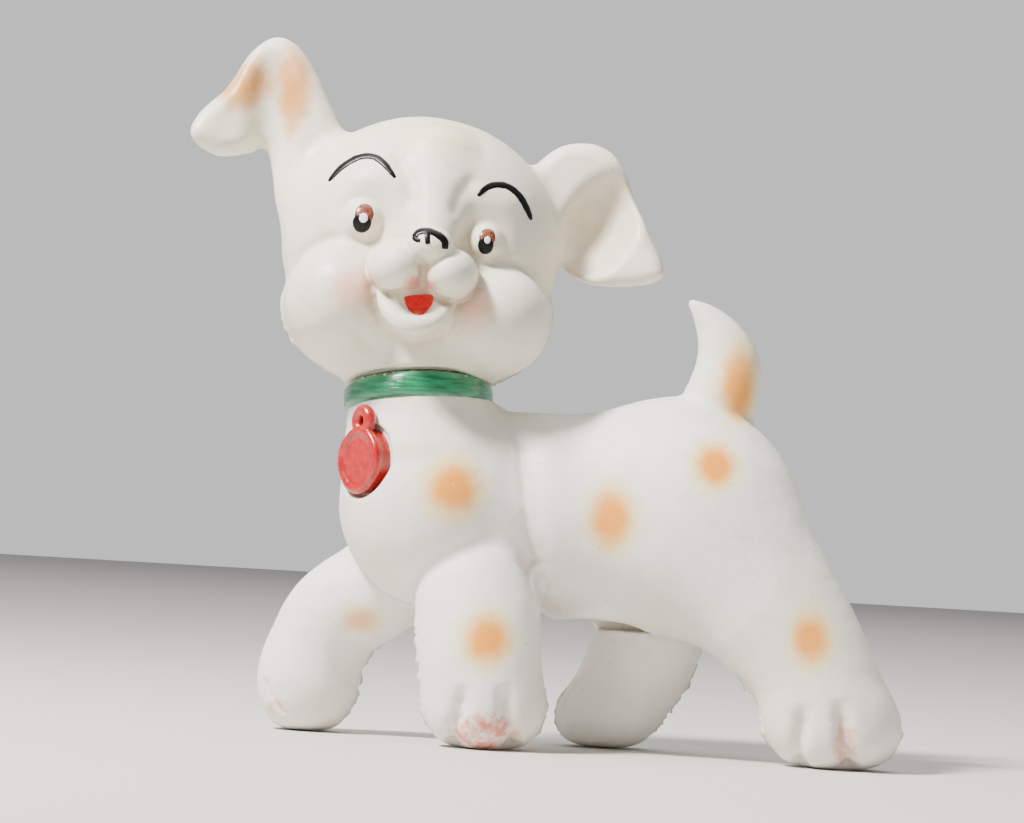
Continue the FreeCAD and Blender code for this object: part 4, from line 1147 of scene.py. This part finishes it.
def red_enamel(name):
    """Glossy red paint, darkened with painted shade in the folds round the medallion's edge."""
    paint = Finish(name, roughness=0.24, **ENAMEL)
    mottle = paint.cloud(2.2, 5.0, 0.65)
    colour = paint.blend(paint.ramp(mottle, 0.3, 0.7), DARK_RED, LIGHT_RED)
    # Painted shade: the red darkens in the medallion's folds.
    colour = paint.blend(paint.ramp(paint.fold_shade(), 0.1, 0.6, 0.0, 0.6), colour, RED_SHADE_IN_FOLDS)
    paint.colour(colour)
    paint.relief((mottle, 0.25), (paint.cloud(0.7, 3.0, 0.6), 0.05))
    return paint.material


BRUSHED_PAINTS = {  # dark and light streaks, roughness, specular level
    "black_paint": ((0.001, 0.001, 0.001), (0.004, 0.004, 0.004), 0.32, 0.22),
    "brown_paint": ((0.10, 0.022, 0.010), (0.26, 0.075, 0.045), 0.25, 0.5),
    "white_paint": ((0.78, 0.80, 0.84), (0.86, 0.87, 0.88), 0.3, 0.5),
    "tongue_red": ((0.58, 0.006, 0.004), (0.78, 0.014, 0.008), 0.24, 0.5),
}


def brushed_paint(name):
    """Thick paint from a small brush."""
    dark, light, roughness, shine = BRUSHED_PAINTS[name]
    paint = Finish(name, roughness=roughness, Specular_IOR_Level=shine)
    streaks = paint.cloud(0.9, 3.0, 0.6)
    paint.colour(paint.blend(paint.ramp(streaks, 0.3, 0.7), dark, light))
    paint.relief((streaks, 0.04))
    return paint.material


def sheet_metal(name, colour, roughness):
    """Dull rolled metal with fine scratches and a little tarnish."""
    metal = Finish(name, roughness=roughness, Metallic=1.0)
    tarnish = metal.ramp(metal.cloud(3.0, 5.0, 0.65), 0.45, 0.75, 0.0, 0.6)
    metal.colour(metal.blend(tarnish, colour, tuple(0.45 * c for c in colour)))
    metal.relief((metal.cloud(0.5, 3.0, 0.6, stretch=(0.2, 2.0, 1.0)), 0.02))
    return metal.material


def coat(things, material):
    """Give things one material."""
    for thing in things:
        thing.data.materials.clear()
        thing.data.materials.append(material)


body_skins = [near_skin, far_skin, tail_skin, body_flash, leg_flash]
head_skins = [face_skin, back_skin, droop_skin, raised_skin, head_flash]
face_paint = [tongue_paint, *black_paint, *iris_paint, *pupil_paint, *gleam_paint]
coat(body_skins, rubber("cream_rubber_body", WHITE_RUBBER))
coat(head_skins, rubber("cream_rubber_head", HEAD_RUBBER))
coat([collar], green_enamel("green_enamel"))
coat([tag_skin, ring_skin], red_enamel("red_enamel"))
coat(black_paint + pupil_paint, brushed_paint("black_paint"))
coat(iris_paint, brushed_paint("brown_paint"))
coat(gleam_paint, brushed_paint("white_paint"))
coat([tongue_paint], brushed_paint("tongue_red"))

nodes = frame["nodes"]
plain_rubber = rubber("plain_rubber", HIDDEN_RUBBER)
coat([nodes[name] for name in ("neck_ring", "head_socket_ring", "squeaker_grommet")], plain_rubber)
tin = sheet_metal("tinplate", TIN, 0.38)
coat([nodes[name] for name in ("squeaker_can", "squeaker_lid", "reed_channel", "reed_clip")], tin)
coat([nodes["squeaker_reed"]], sheet_metal("reed_brass", BRASS, 0.30))

# ---- what the pieces ride on; the ears and the tail are only baked in place, not attached

for skin, node, body in (
    (near_skin, "body_left_half", "body"),
    (far_skin, "body_right_half", "body"),
    (collar, "collar_band", "body"),
    (tag_skin, "name_tag_disc", "body"),
    (ring_skin, "name_tag_ring", "body"),
    (face_skin, "head_face_half", "head"),
    (back_skin, "head_back_half", "head"),
):
    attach(skin, body)
    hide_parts(node)
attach(body_flash, "body")
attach(leg_flash, "body")
for thing in [head_flash, *face_paint]:
    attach(thing, "head")
for skin, node, parent, child, start, way, reach in (
    (droop_skin, "left_ear_drooping", "head", "left_ear", DROOP_CUT, DROOP_OUT, 9),
    (raised_skin, "right_ear_raised", "head", "right_ear", RAISED_CUT, RAISED_OUT, 12),
    (tail_skin, "tail", "body", "tail", TAIL_CUT, TAIL_UP, 11),
):
    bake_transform(skin)
    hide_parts(node)

# ---- floor, light and camera

FLOOR_HALF = 4000
CORNERS = ((-1, -1), (1, -1), (1, 1), (-1, 1))
floor = new_object("floor", [(x * FLOOR_HALF, y * FLOOR_HALF, 0) for x, y in CORNERS], [(0, 1, 2, 3)])
pale = Finish("pale_floor", roughness=0.7)
pale.colour((0.58, 0.55, 0.51))
coat([floor], pale.material)

world = bpy.data.worlds.new("studio")
bpy.context.scene.world = world
world.use_nodes = True
HORIZON_BAND = (0.14, 0.40)
SKY_LIGHT = (0.80, 0.32)  # the world's strength below that band and above it
sky = world.node_tree
place = add_node(sky, "TexCoord", {}).outputs["Generated"]
height = add_node(sky, "SeparateXYZ", {0: place}).outputs["Z"]
background = sky.nodes["Background"]
plug(sky, background.inputs["Strength"], smooth_step(sky, height, *HORIZON_BAND, *SKY_LIGHT))
background.inputs["Color"].default_value = (0.93, 0.94, 0.96, 1)


def soft_light(name, position, target, width, power, colour):
    """A square area light aimed at a point, in metres."""
    lamp = bpy.data.lights.new(name, "AREA")
    lamp.shape = "SQUARE"
    lamp.size = width
    lamp.energy = power
    lamp.color = colour
    holder = placed(name, lamp)
    holder.location = position
    holder.rotation_euler = (Vector(target) - Vector(position)).to_track_quat("-Z", "Y").to_euler()


MIDDLE = (0, 0, 0.08)
soft_light("window", (-0.50, -0.30, 0.80), MIDDLE, 0.16, 31.0, (1.0, 0.98, 0.95))
soft_light("overhead", (0.2, 0.7, 2.6), MIDDLE, 2.4, 60.0, (0.97, 0.98, 1.0))

AIM = Vector((-0.0054, 0, 0.0775))  # metres
DISTANCE = 0.9
RISE = math.radians(-2.0)
ROLL = math.radians(3.32)
PIXELS_ACROSS = 1024
FOCAL_PIXELS = 3870
camera_data = bpy.data.cameras.new("camera")
camera_data.sensor_width = 36
camera_data.lens = FOCAL_PIXELS / PIXELS_ACROSS * camera_data.sensor_width
camera_data.clip_end = 20
camera = placed("camera", camera_data)
camera.location = AIM + DISTANCE * Vector((0, -math.cos(RISE), math.sin(RISE)))
look = (AIM - camera.location).to_track_quat("-Z", "Y").to_matrix()
camera.rotation_euler = (look @ Matrix.Rotation(ROLL, 3, "Z")).to_euler()
bpy.context.scene.camera = camera
